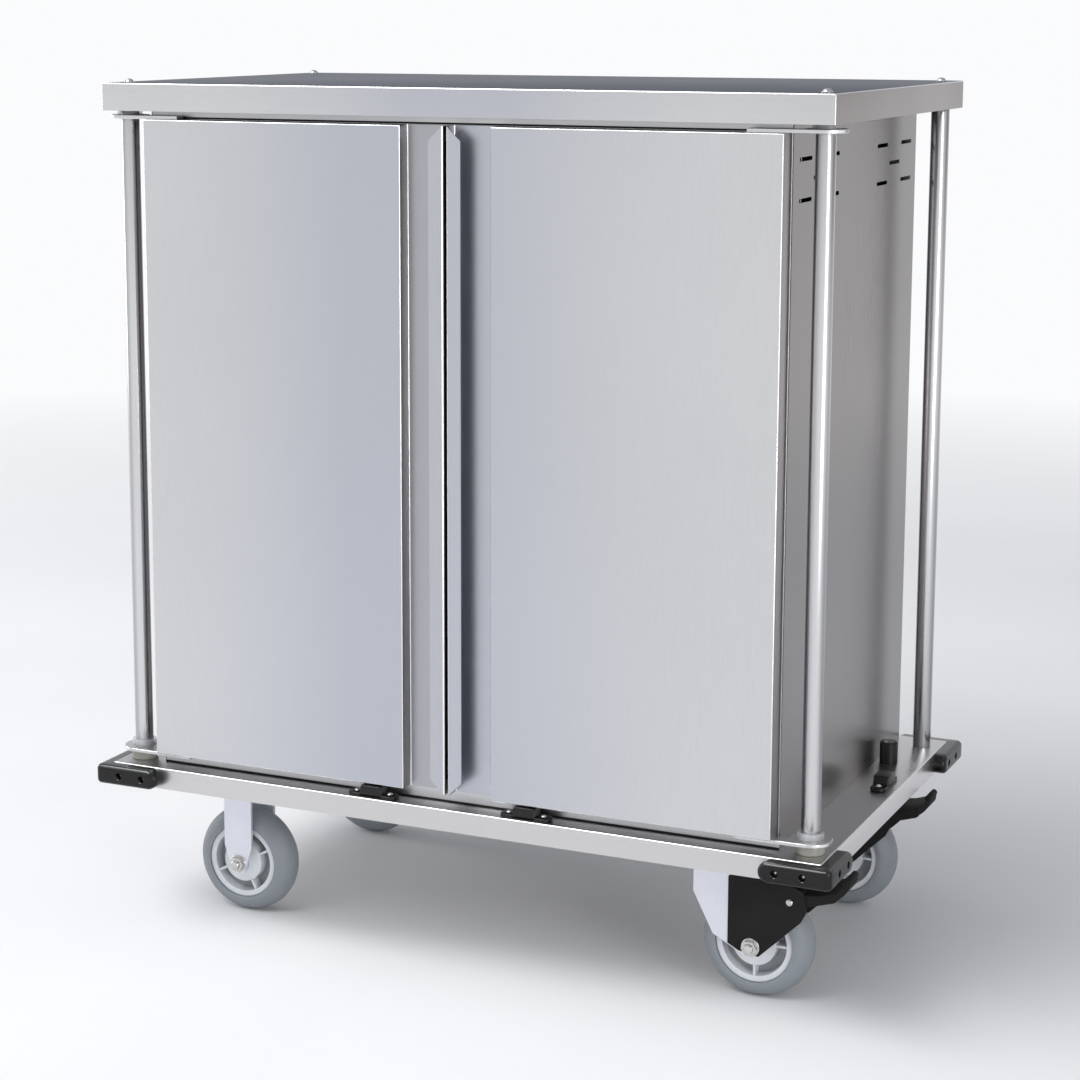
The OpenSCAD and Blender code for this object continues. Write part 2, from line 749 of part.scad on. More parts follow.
// The pan that forms the door's face, its recess and its pull
module door_skin() difference() {
    union() {
        translate([0, 0, door_bottom]) linear_extrude(height = door_h) door_outline(0);
        translate([door_inner, door_front, door_bottom]) cube([door_sheet_t, recess_d + 1, door_h]);
        plate_xz(door_front, door_front + door_sheet_t) polygon([
            [door_inner, door_bottom], [door_inner + lip_w, door_bottom + lip_w],
            [door_inner + lip_w, door_top - lip_w], [door_inner, door_top]
        ]);
    }
    translate([0, 0, door_bottom + door_sheet_t]) linear_extrude(height = door_h - 2 * door_sheet_t) {
        intersection() {
            door_outline(door_sheet_t);
            translate([0, door_front]) square([door_outer, door_t - door_sheet_t]);
        }
        translate([door_inner + door_sheet_t, door_back - door_sheet_t - eps])
            square([door_outer - door_inner - 2 * door_sheet_t, door_sheet_t + 1]);
    }
}

// The flat sheet that closes the door's back
module door_liner() translate([door_inner + door_sheet_t + press_play, door_back - door_sheet_t, 0])
    translate([0, 0, door_bottom + door_sheet_t + press_play])
        cube([door_outer - door_inner - 2 * door_sheet_t - 2 * press_play, door_sheet_t,
              door_h - 2 * door_sheet_t - 2 * press_play]);

module door_gasket() {
    g = gasket_inset;
    w = gasket_w;
    plate_xz(door_back, door_back + gasket_t) difference() {
        translate([door_inner + g, door_bottom + g])
            square([door_outer - door_inner - 2 * g, door_h - 2 * g]);
        translate([door_inner + g + w, door_bottom + g + w])
            square([door_outer - door_inner - 2 * g - 2 * w, door_h - 2 * g - 2 * w]);
    }
}

module right_door_skin() color("gainsboro") door_skin();

module right_door_liner() color("silver") door_liner();

module right_hinge_plates() color("lightgray") hinge_plates();

module right_hinge_bushings() color("beige") hinge_bushings();

module right_door_gasket() color("#303030") door_gasket();

module left_door_skin() color("gainsboro") mirror([1, 0, 0]) door_skin();

module left_door_liner() color("silver") mirror([1, 0, 0]) door_liner();

module left_hinge_plates() color("lightgray") mirror([1, 0, 0]) hinge_plates();

module left_hinge_bushings() color("beige") mirror([1, 0, 0]) hinge_bushings();

module left_door_gasket() color("#303030") mirror([1, 0, 0]) door_gasket();

// ---- Casters ----

module caster_plate() difference() {
    slab(plate_l, plate_w, plate_t, plate_bottom);
    caster_bolt_spots() translate([0, 0, plate_bottom - 1])
        cylinder(d = bolt_d + 2 * bolt_play, h = plate_t + 2, $fn = 32);
}

// A rigid caster's fork, its axle under the plate's middle
module rigid_fork() {
    w = fork_leg_w / 2;
    caster_plate();
    difference() {
        for (y = [-fork_out, fork_gap / 2]) plate_xz(y, y + fork_t) polygon([
            [-w, plate_bottom + eps], [-w, axle_z + leg_taper_h], [-leg_foot_w, axle_z - leg_foot_drop],
            [leg_foot_w, axle_z - leg_foot_drop], [w, axle_z + leg_taper_h], [w, plate_bottom + eps]
        ]);
        translate([0, 0, axle_z]) rod_y(axle_d + 2 * press_play, -fork_out - 1, fork_out + 1);
    }
}

module rigid_forks() color("lavender") for (y = [-caster_y, caster_y])
    translate([-caster_x, y, 0]) rigid_fork();

// An axle bolt, its nut and the sleeve that the wheel turns on, for an axle at the origin.
// The nut is on the -Y side, against whatever ends at the distance reach from the middle.
module axle_set(reach) {
    rod_y(axle_d, -reach - nut_h - axle_end, reach + eps);
    translate([0, reach, 0]) rod_y(nut_af / cos(30), 0, nut_h, 6);
    difference() {
        translate([0, -reach - nut_h, 0]) rod_y(nut_af / cos(30), 0, nut_h, 6);
        rod_y(axle_d + 2 * press_play, -reach - nut_h - 1, 0);
    }
    difference() {
        rod_y(sleeve_od, -fork_gap / 2 + sleeve_play, fork_gap / 2 - sleeve_play);
        rod_y(axle_d + 2 * turn_play, -fork_gap, fork_gap);
    }
}

module rigid_caster_axles() color("silver") front_and_back()
    translate([-caster_x, -caster_y, axle_z]) axle_set(fork_out);

// The swivel caster's top plate with its upper race; the kingpin passes through it
module swivel_plate() difference() {
    union() {
        caster_plate();
        translate([0, 0, crown_top + race_h + lift_play])
            cylinder(d = race_d - 2 * race_step, h = race_space - race_h - lift_play + eps);
    }
    cylinder(d = kingpin_d + 2 * press_play, h = caster_h + 1);
}

module swivel_plates() color("lavender") for (y = [-caster_y, caster_y])
    translate([caster_x, y, 0]) swivel_plate();

module kingpins() color("silver") for (y = [-caster_y, caster_y]) translate([caster_x, y, 0]) {
    translate([0, 0, crown_bottom - lift_play - kingpin_head_h])
        cylinder(d = kingpin_head_d, h = kingpin_head_h);
    translate([0, 0, crown_bottom - lift_play - 1])
        cylinder(d = kingpin_d, h = caster_h - crown_bottom + lift_play + 1);
}

module caster_bolts() color("silver") caster_spots() caster_bolt_spots() {
    translate([0, 0, plate_bottom - bolt_head_h])
        cylinder(d = hex_ratio * bolt_d, h = bolt_head_h, $fn = 6);
    translate([0, 0, plate_bottom - 1])
        cylinder(d = bolt_d, h = plate_t + rail_t + bolt_nut_h + bolt_end + 1);
    translate([0, 0, caster_h + rail_t]) difference() {
        cylinder(d = hex_ratio * bolt_d, h = bolt_nut_h, $fn = 6);
        translate([0, 0, -1]) cylinder(d = bolt_d + 2 * press_play, h = bolt_nut_h + 2);
    }
}

// A swivel caster's yoke, its kingpin on the Z axis and its axle at x = trail
module yoke() {
    w = race_d / 2;
    color("lavender") difference() {
        union() {
            for (y = [-fork_out, fork_gap / 2]) plate_xz(y, y + fork_t) polygon([
                [-w, crown_top], [-w, axle_z + yoke_shoulder_h], [-yoke_knee.x, axle_z + yoke_knee.y],
                [trail - leg_foot_w, axle_z - leg_foot_drop], [trail + leg_foot_w, axle_z - leg_foot_drop],
                [trail + yoke_heel_w, axle_z + yoke_knee.y], [w, axle_z + yoke_shoulder_h], [w, crown_top]
            ]);
            translate([-w, -fork_out, crown_bottom]) cube([2 * w, 2 * fork_out, crown_t]);
            translate([0, 0, crown_top - eps]) cylinder(d = race_d, h = race_h);
        }
        cylinder(d = kingpin_d + 2 * turn_play, h = caster_h);
        translate([trail, 0, axle_z]) rod_y(axle_d + 2 * press_play, -fork_out - 1, fork_out + 1);
    }
}

// The brake's two side plates and the bridge that joins them over the wheel
module brake_plates() {
    out = fork_out + brake_t;
    top = crown_top - bridge_play;
    color("#1c1c1c") difference() {
        union() {
            for (y = [-out, fork_out]) plate_xz(y, y + brake_t) polygon([
                for (p = brake_foot) [trail + p.x, axle_z + p.y],
                for (p = brake_nose) [pivot_x + p.x, pivot_z + p.y],
                [bridge_x + bridge_l, top], [brake_back + brake_corner, top],
                [brake_back, top - brake_corner]
            ]);
            translate([bridge_x, -out + eps, top - brake_t]) cube([bridge_l, 2 * out - 2 * eps, brake_t]);
        }
        translate([trail, 0, axle_z]) rod_y(axle_d + 2 * press_play, -out - 1, out + 1);
        translate([pivot_x, 0, pivot_z]) rod_y(pivot_d + 2 * press_play, -out - 1, out + 1);
    }
}

// The yoke's axle set and the pedal's riveted pivot pin
module yoke_pins() {
    out = fork_out + brake_t;
    color("silver") {
        translate([trail, 0, axle_z]) axle_set(out);
        translate([pivot_x, 0, pivot_z]) {
            rod_y(pivot_d, -out - eps, out + eps);
            for (s = [0, 1]) mirror([0, s, 0]) translate([0, -out, 0]) rotate([90, 0, 0])
                dome(rivet_head_ratio * pivot_d, rivet_dome_h);
        }
    }
}

// A brake pedal: two side arms, the tread between them, the rolled tip and the cam
module brake_pedal() {
    half = fork_out - arm_gap;
    cam_angle = atan2(pivot_rise, pivot_x - trail) + 180 + pedal_travel;
    color("#1c1c1c") translate([pivot_x, 0, pivot_z]) difference() {
        union() {
            for (y = [-half, half - arm_t]) plate_xz(y, y + arm_t) {
                circle(r = eye_r);
                polygon(arm_outline);
            }
            plate_xz(-half, half) polygon(tread_outline);
            translate([pedal_tip.x, 0, pedal_tip.y]) rod_y(tip_d, -half, half);
            rod_y(pivot_d + 2 * boss_wall, -half, half);
            translate([cam_throw * cos(cam_angle), 0, cam_throw * sin(cam_angle)])
                rod_y(2 * cam_r, -cam_w / 2, cam_w / 2);
        }
        rod_y(pivot_d + 2 * turn_play, -half - 1, half + 1);
    }
}

module at_front_swivel() translate([caster_x, -caster_y, 0]) children();

module at_rear_swivel() mirror([0, 1, 0]) at_front_swivel() children();

module front_yoke() at_front_swivel() yoke();

module front_brake_plates() at_front_swivel() brake_plates();

module front_yoke_pins() at_front_swivel() yoke_pins();

module front_brake_pedal() at_front_swivel() brake_pedal();

module rear_yoke() at_rear_swivel() yoke();

module rear_brake_plates() at_rear_swivel() brake_plates();

module rear_yoke_pins() at_rear_swivel() yoke_pins();

module rear_brake_pedal() at_rear_swivel() brake_pedal();

// ---- Wheels ----

// Half of the core's section: radius along X, the wheel's axis along Y
module core_section() {
    rim_r = core_r - rim_w;
    bore_r = sleeve_od / 2 + turn_play;
    translate([bore_r, -hub_l / 2]) square([hub_boss_r - bore_r, hub_l]);
    translate([bore_r, -core_w / 2]) square([hub_disc_r - bore_r, core_w]);
    translate([hub_disc_r - 1, -web_t / 2]) square([rim_r - hub_disc_r + 2, web_t]);
    translate([rim_r, -core_w / 2]) square([rim_w, core_w]);
}

// A wheel core on the Y axis, its ribs turned by the angle turn
module wheel_core(turn) color("gainsboro") rotate([90, 0, 0]) union() {
    rotate_extrude($fn = 96) core_section();
    for (a = [0:90:270]) rotate([0, 0, a + turn])
        translate([hub_disc_r - 1, -rib_t / 2, -core_w / 2])
            cube([core_r - rim_w - hub_disc_r + 2, rib_t, core_w]);
}

module tyre() color("slategray") rotate([90, 0, 0]) rotate_extrude($fn = 96) intersection() {
    translate([core_r, -tyre_w / 2]) square([wheel_d / 2 - core_r, tyre_w]);
    translate([wheel_d / 2 - tread_r, 0]) circle(r = tread_r, $fn = 128);
}

// The front left wheel stands with its ribs turned; the others stand square
turn_front_left = 26;

module wheel_core_front_left() translate([-caster_x, -caster_y, axle_z]) wheel_core(turn_front_left);

module tyre_front_left() translate([-caster_x, -caster_y, axle_z]) tyre();

module wheel_core_rear_left() translate([-caster_x, caster_y, axle_z]) wheel_core(0);

module tyre_rear_left() translate([-caster_x, caster_y, axle_z]) tyre();

module wheel_core_front_right() translate([wheel_x, -caster_y, axle_z]) wheel_core(0);

module tyre_front_right() translate([wheel_x, -caster_y, axle_z]) tyre();

module wheel_core_rear_right() translate([wheel_x, caster_y, axle_z]) wheel_core(0);

module tyre_rear_right() translate([wheel_x, caster_y, axle_z]) tyre();

deck_pan();
deck_skirts();
long_rails();
cross_rails();
front_posts();
rear_posts();
canopy();
post_cap_bolts();
post_base_bolts();
left_end_panel();
right_end_panel();
back_panel();
cabinet_floor();
cabinet_roof();
center_divider();
front_frame();
rack_uprights();
left_bay_ledges();
right_bay_ledges();
bumper_front_left();
bumper_front_right();
bumper_rear_left();
bumper_rear_right();
bumper_screws();
door_catches();
catch_screws();
door_stops();
hinge_spacers();
rigid_forks();
rigid_caster_axles();
swivel_plates();
kingpins();
caster_bolts();
left_door_skin();
left_door_liner();
left_hinge_plates();
left_hinge_bushings();
left_door_gasket();
right_door_skin();
right_door_liner();
right_hinge_plates();
right_hinge_bushings();
right_door_gasket();
front_yoke();
front_brake_plates();
front_yoke_pins();
front_brake_pedal();
rear_yoke();
rear_brake_plates();
rear_yoke_pins();
rear_brake_pedal();
wheel_core_front_left();
tyre_front_left();
wheel_core_rear_left();
tyre_rear_left();
wheel_core_front_right();
tyre_front_right();
wheel_core_rear_right();
tyre_rear_right();
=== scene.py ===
import json
from math import asin, cos, degrees, pi, radians, sin

import bmesh
import bpy
from mathutils import Matrix, Vector

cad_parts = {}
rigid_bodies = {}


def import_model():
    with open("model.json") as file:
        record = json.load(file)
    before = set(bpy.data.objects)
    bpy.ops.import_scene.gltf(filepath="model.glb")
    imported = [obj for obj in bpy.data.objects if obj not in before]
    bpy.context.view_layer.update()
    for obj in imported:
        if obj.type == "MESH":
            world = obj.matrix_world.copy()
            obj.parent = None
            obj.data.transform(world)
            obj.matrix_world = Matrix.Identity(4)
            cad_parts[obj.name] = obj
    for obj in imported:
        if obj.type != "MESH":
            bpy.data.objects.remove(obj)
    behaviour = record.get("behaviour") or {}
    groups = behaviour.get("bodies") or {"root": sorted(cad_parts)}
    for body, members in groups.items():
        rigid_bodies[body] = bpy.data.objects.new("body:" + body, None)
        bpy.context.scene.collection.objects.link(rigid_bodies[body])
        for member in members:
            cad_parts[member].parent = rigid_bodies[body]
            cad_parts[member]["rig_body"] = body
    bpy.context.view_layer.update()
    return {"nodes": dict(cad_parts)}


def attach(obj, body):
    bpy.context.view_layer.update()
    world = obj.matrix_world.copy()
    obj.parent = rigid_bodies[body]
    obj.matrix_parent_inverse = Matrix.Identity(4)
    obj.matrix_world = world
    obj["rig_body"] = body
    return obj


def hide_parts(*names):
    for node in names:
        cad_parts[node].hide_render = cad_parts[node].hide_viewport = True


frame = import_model()
scene = bpy.context.scene
millimetre = 0.001
print("stage: frame loaded")


# Small helpers for meshes. Sizes go in as millimetres and become metres here.

leftRight = (-1, 1, 1)
frontBack = (1, -1, 1)
ends = (("front", -1), ("rear", 1))
flanks = (("right", 1), ("left", -1))


def shadeByAngle(mesh, sharpest):
    # Smooth faces, with the edges sharper than this angle kept crisp
    bm = bmesh.new()
    bm.from_mesh(mesh)
    limit = radians(sharpest)
    for face in bm.faces:
        face.smooth = True
    for edge in bm.edges:
        edge.smooth = len(edge.link_faces) == 2 and edge.calc_face_angle(0.0) < limit
    bm.to_mesh(mesh)
    bm.free()


def addObject(name, data):
    obj = bpy.data.objects.new(name, data)
    scene.collection.objects.link(obj)
    return obj


def place(name, mesh, body, nodes, kind, sharpest=32.0):
    # Puts a finished mesh on its body, in place of the CAD nodes that it stands for.
    # The kind is one of the finishes below.
    obj = addObject(name, mesh)
    mesh.materials.clear()
    mesh.materials.append(finish[kind])
    shadeByAngle(mesh, sharpest)
    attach(obj, body)
    if nodes:
        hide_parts(*nodes)
    return obj


def toMesh(bm, name, outward=True):
    # Outward turns the faces of a closed shape to look out of it
    if outward:
        bmesh.ops.recalc_face_normals(bm, faces=bm.faces)
    mesh = bpy.data.meshes.new(name)
    bm.to_mesh(mesh)
    bm.free()
    return mesh


def mirror(bm, flip):
    bmesh.ops.scale(bm, vec=flip, verts=bm.verts)
    bmesh.ops.reverse_faces(bm, faces=bm.faces)


def piece(name, bm, body, nodes, kind, sharpest=32.0, side=1):
    # Shapes of a pair are drawn for the right side, 1, and mirrored for the left side, -1
    if side < 0:
        mirror(bm, leftRight)
    return place(name, toMesh(bm, name), body, nodes, kind, sharpest)


def moveBy(bm, matrix):
    # Moves a mesh by a matrix whose translation is in millimetres
    metric = matrix.copy()
    metric.translation = metric.translation * millimetre
    bmesh.ops.transform(bm, matrix=metric, verts=bm.verts)


def sheetOf(obj, thickness):
    # Gives a folded surface its sheet thickness, inwards from the drawn outer face
    solid = obj.modifiers.new("sheet", "SOLIDIFY")
    solid.thickness = thickness * millimetre
    solid.offset = -1
    solid.use_even_offset = True


def roundEdges(obj, width, segments=2, sharpest=30.0):
    bevel = obj.modifiers.new("edges", "BEVEL")
    bevel.width = width * millimetre
    bevel.segments = segments
    bevel.limit_method = "ANGLE"
    bevel.angle_limit = radians(sharpest)
    bevel.harden_normals = False
    normals = obj.modifiers.new("normals", "WEIGHTED_NORMAL")
    normals.keep_sharp = True


def bevelEdges(bm, edges, width, segments):
    bmesh.ops.bevel(bm, geom=edges, offset=width * millimetre, segments=segments, profile=0.5,
                    affect="EDGES", clamp_overlap=True)


def boxInto(bm, low, high):
    # A box between two corners, in millimetres
    lo = Vector(low) * millimetre
    hi = Vector(high) * millimetre
    corners = [(x, y, z) for x in (lo.x, hi.x) for y in (lo.y, hi.y) for z in (lo.z, hi.z)]
    verts = [bm.verts.new(c) for c in corners]
    sides = [(0, 1, 3, 2), (4, 6, 7, 5), (0, 4, 5, 1), (2, 3, 7, 6), (0, 2, 6, 4), (1, 5, 7, 3)]
    for side in sides:
        bm.faces.new([verts[i] for i in side])


def roundedBoxes(boxes, width, segments):
    # Boxes between pairs of corners, with all their edges rounded
    bm = bmesh.new()
    for low, high in boxes:
        boxInto(bm, low, high)
    bmesh.ops.recalc_face_normals(bm, faces=bm.faces)
    bevelEdges(bm, bm.edges[:], width, segments)
    return bm


def foldedPan(low, high, openSide, bendRadius, cornerRadius):
    # A pan folded from one sheet: a box with one side left open, its bends rounded, and then its corners.
    # The open side is an axis index and -1 or 1.
    bm = bmesh.new()
    boxInto(bm, low, high)
    bmesh.ops.recalc_face_normals(bm, faces=bm.faces)
    axis, sign = openSide
    openFace = max(bm.faces, key=lambda f: f.normal[axis] * sign)
    bmesh.ops.delete(bm, geom=[openFace], context="FACES_ONLY")
    bends = []
    for edge in bm.edges:
        along = (edge.verts[0].co - edge.verts[1].co).normalized()
        if len(edge.link_faces) == 2 and abs(along[axis]) <= 0.9:
            bends.append(edge)
    bevelEdges(bm, bends, bendRadius, 5)
    corners = [e for e in bm.edges if len(e.link_faces) == 2 and e.calc_face_angle(0) > 1.2]
    bevelEdges(bm, corners, cornerRadius, 3)
    return bm


def lathe(bm, profile, centre, axis="Z", segments=96, closed=False):
    # Turns a profile of radius and height about an axis through the centre
    rings = []
    for radius, height in profile:
        count = 1 if radius == 0 else segments
        angles = [2 * pi * i / segments for i in range(count)]
        rings.append([bm.verts.new((radius * cos(a) * millimetre, radius * sin(a) * millimetre,
                                    height * millimetre)) for a in angles])
    pairs = list(zip(rings[:-1], rings[1:]))
    if closed:
        pairs.append((rings[-1], rings[0]))
    for low, high in pairs:
        for i in range(segments):
            j = (i + 1) % segments
            if len(low) == 1 and len(high) == 1:
                continue
            if len(low) == 1:
                bm.faces.new((low[0], high[i], high[j]))
            elif len(high) == 1:
                bm.faces.new((low[i], high[0], low[j]))
            else:
                bm.faces.new((low[i], high[i], high[j], low[j]))
    made = [v for ring in rings for v in ring]
    turns = {"X": (90, "Y"), "Y": (-90, "X"), "-Y": (90, "X")}
    if axis in turns:
        angle, about = turns[axis]
        bmesh.ops.rotate(bm, verts=made, cent=(0, 0, 0), matrix=Matrix.Rotation(radians(angle), 3, about))
    bmesh.ops.translate(bm, verts=made, vec=Vector(centre) * millimetre)


def tube(bm, inner, outer, half, centre, segments):
    # A pipe along Y, from minus its half length to plus
    profile = [(inner, -half), (outer, -half), (outer, half), (inner, half)]
    lathe(bm, profile, centre, axis="Y", segments=segments, closed=True)


def bridge(bm, rings):
    # Joins rings of equal length with faces
    count = len(rings[0])
    for low, high in zip(rings[:-1], rings[1:]):
        for i in range(count):
            j = (i + 1) % count
            bm.faces.new((low[i], low[j], high[j], high[i]))


def skinRings(bm, rings, matrix):
    # Joins rings of points and closes both ends; the matrix is in millimetres
    made = [[bm.verts.new((matrix @ Vector(p)) * millimetre) for p in ring] for ring in rings]
    bridge(bm, made)
    bm.faces.new(list(reversed(made[0])))
    bm.faces.new(made[-1])


def hexHead(bm, matrix, acrossFlats, height, boltRadius, tipHeight, steps=72):
    # A hex nut or head along +Z with its corners turned down, and a rounded bolt end standing out of it
    flat = acrossFlats / 2
    angles = [2 * pi * i / steps for i in range(steps)]
    corner = [flat / cos((a % (pi / 3)) - pi / 6) for a in angles]

    def ring(radii, heights):
        return [(r * cos(a), r * sin(a), h) for r, a, h in zip(radii, angles, heights)]

    rings = [ring(corner, [0.0] * steps), ring(corner, [height - 0.58 * (c - flat) for c in corner])]
    turned = [(flat * 0.97, height)]
    if boltRadius > 0:
        b = boltRadius
        top = height + tipHeight
        turned += [(b + 0.5, height), (b + 0.1, height - 0.5), (b, height - 0.4), (b, top - 1.4),
                   (b - 0.9, top - 0.35), (b - 2.0, top)]
    for radius, level in turned:
        rings.append(ring([radius] * steps, [level] * steps))
    skinRings(bm, rings, matrix)


def roundedProfile(radius, low, high, chamfer):
    # A turned part's profile with small rounds at both outer edges
    c = chamfer
    r = radius
    return [(0.0, low), (r - c, low), (r - 0.3 * c, low + 0.3 * c), (r, low + c),
            (r, high - c), (r - 0.3 * c, high - 0.3 * c), (r - c, high), (0.0, high)]


def dome(radius, base, height, angles):
    # The curve of a domed head's profile, at these angles above its rim
    return [(radius * cos(radians(a)), base + height * sin(radians(a))) for a in angles]


def takeMesh(obj):
    # An object's mesh with its modifiers applied
    bpy.context.view_layer.update()
    mesh = bpy.data.meshes.new_from_object(obj.evaluated_get(bpy.context.evaluated_depsgraph_get()))
    bm = bmesh.new()
    bm.from_mesh(mesh)
    bpy.data.meshes.remove(mesh)
    return bm


def outlinePlate(name, loops, thickness, edge, matrix):
    # A flat plate cut from outlines in X and Y, holes included, with rounded edges.
    # It stands from z = 0 to its thickness before the matrix, in millimetres, places it.
    curve = bpy.data.curves.new(name, "CURVE")
    curve.dimensions = "2D"
    curve.fill_mode = "BOTH"
    for loop in loops:
        spline = curve.splines.new("POLY")
        spline.points.add(len(loop) - 1)
        for point, (x, y) in zip(spline.points, loop):
            point.co = (x * millimetre, y * millimetre, 0, 1)
        spline.use_cyclic_u = True
    curve.extrude = (thickness / 2 - edge) * millimetre
    curve.bevel_depth = edge * millimetre
    curve.bevel_resolution = 2
    curve.offset = -edge * millimetre
    holder = addObject(name, curve)
    bm = takeMesh(holder)
    bpy.data.objects.remove(holder)
    bpy.data.curves.remove(curve)
    bmesh.ops.remove_doubles(bm, verts=bm.verts, dist=1e-7)
    bmesh.ops.translate(bm, verts=bm.verts, vec=(0, 0, thickness / 2 * millimetre))
    moveBy(bm, matrix)
    return bm


def arc(centre, radius, start, end, steps):
    # Points on a circle from one angle in degrees to another
    angles = [radians(start + (end - start) * i / steps) for i in range(steps + 1)]
    return [(centre[0] + radius * cos(a), centre[1] + radius * sin(a)) for a in angles]


def circle(centre, radius, steps):
    return arc(centre, radius, 0, 360, steps)[:-1]


def stadium(centre, length, height, steps=16):
    half = (length - height) / 2
    x, y = centre
    return arc((x + half, y), height / 2, -90, 90, steps) + arc((x - half, y), height / 2, 90, 270, steps)


def mergeInto(target, source):
    # Adds one bmesh to another
    mesh = toMesh(source, "merge", False)
    target.from_mesh(mesh)
    bpy.data.meshes.remove(mesh)


def fromNode(nodeName, pieceName, kind, width, segments=2, sharpest=30.0):
    # A refined copy of a CAD node: merged flat faces and rounded edges
    node = frame["nodes"][nodeName]
    bm = bmesh.new()
    bm.from_mesh(node.data)
    bmesh.ops.remove_doubles(bm, verts=bm.verts, dist=2e-6)
    bmesh.ops.dissolve_limit(bm, angle_limit=radians(0.8), verts=bm.verts, edges=bm.edges)
    obj = place(pieceName, toMesh(bm, pieceName, False), node["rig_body"], [nodeName], kind, sharpest)
    if width > 0:
        roundEdges(obj, width, segments, sharpest)


def dressNode(nodeName, kind, width):
    # A CAD node that is shown as it is, with its finish and a small edge round
    node = frame["nodes"][nodeName]
    node.data.materials.clear()
    node.data.materials.append(finish[kind])
    for polygon in node.data.polygons:
        polygon.material_index = 0
    if width > 0:
        roundEdges(node, width)


# Materials. Each is made from nodes; nothing is a picture.

def link(tree, start, end):
    tree.links.new(start, end)


def fill(tree, node, values):
    # Sets a node's inputs to constants, or links them to another node's output
    for name, value in values.items():
        socket = node.inputs[name]
        if isinstance(value, bpy.types.NodeSocket):
            link(tree, value, socket)
        elif socket.type == "RGBA":
            socket.default_value = (*value, 1)
        else:
            socket.default_value = value


def addNode(tree, kind, values, **settings):
    node = tree.nodes.new("ShaderNode" + kind)
    for name, setting in settings.items():
        setattr(node, name, setting)
    fill(tree, node, values)
    return node


def newMaterial(name):
    material = bpy.data.materials.new(name)
    material.use_nodes = True
    tree = material.node_tree
    tree.nodes.clear()
    output = addNode(tree, "OutputMaterial", {})
    shader = addNode(tree, "BsdfPrincipled", {})
    link(tree, shader.outputs["BSDF"], output.inputs["Surface"])
    return material, tree, shader


def coordinates(tree, scale=(1, 1, 1), centre=(0, 0, 0), way="POINT"):
    # The place in the piece's own space, in metres, times a scale
    where = addNode(tree, "TexCoord", {})
    values = {"Location": centre, "Scale": scale, "Vector": where.outputs["Object"]}
    return addNode(tree, "Mapping", values, vector_type=way).outputs["Vector"]


def noise(tree, vector, scale, detail, roughness):
    values = {"Vector": vector, "Scale": scale, "Detail": detail, "Roughness": roughness}
    return addNode(tree, "TexNoise", values).outputs["Fac"]


def remap(tree, value, low, high, toLow=0.0, toHigh=1.0):
    values = {"Value": value, "From Min": low, "From Max": high, "To Min": toLow, "To Max": toHigh}
    return addNode(tree, "MapRange", values).outputs["Result"]


def maths(tree, operation, first, second=0.0):
    return addNode(tree, "Math", {0: first, 1: second}, operation=operation).outputs["Value"]


def weighted(tree, first, firstWeight, second, secondWeight):
    # The sum of two values, each times its weight
    return maths(tree, "ADD", maths(tree, "MULTIPLY", first, firstWeight),
                 maths(tree, "MULTIPLY", second, secondWeight))


def blendColours(tree, factor, first, second):
    return addNode(tree, "Mix", {"Factor": factor, 6: first, 7: second}, data_type="RGBA").outputs[2]


def bump(tree, shader, height, strength, distance):
    node = addNode(tree, "Bump", {"Strength": strength, "Distance": distance, "Height": height})
    link(tree, node.outputs["Normal"], shader.inputs["Normal"])


def faceDirection(tree):
    # The face's own direction in the piece's space, so that it stays put when a door turns
    facing = addNode(tree, "NewGeometry", {}).outputs["True Normal"]
    turn = addNode(tree, "VectorTransform", {"Vector": facing}, vector_type="NORMAL", convert_from="WORLD",
                   convert_to="OBJECT")
    return addNode(tree, "SeparateXYZ", {"Vector": turn.outputs["Vector"]}).outputs


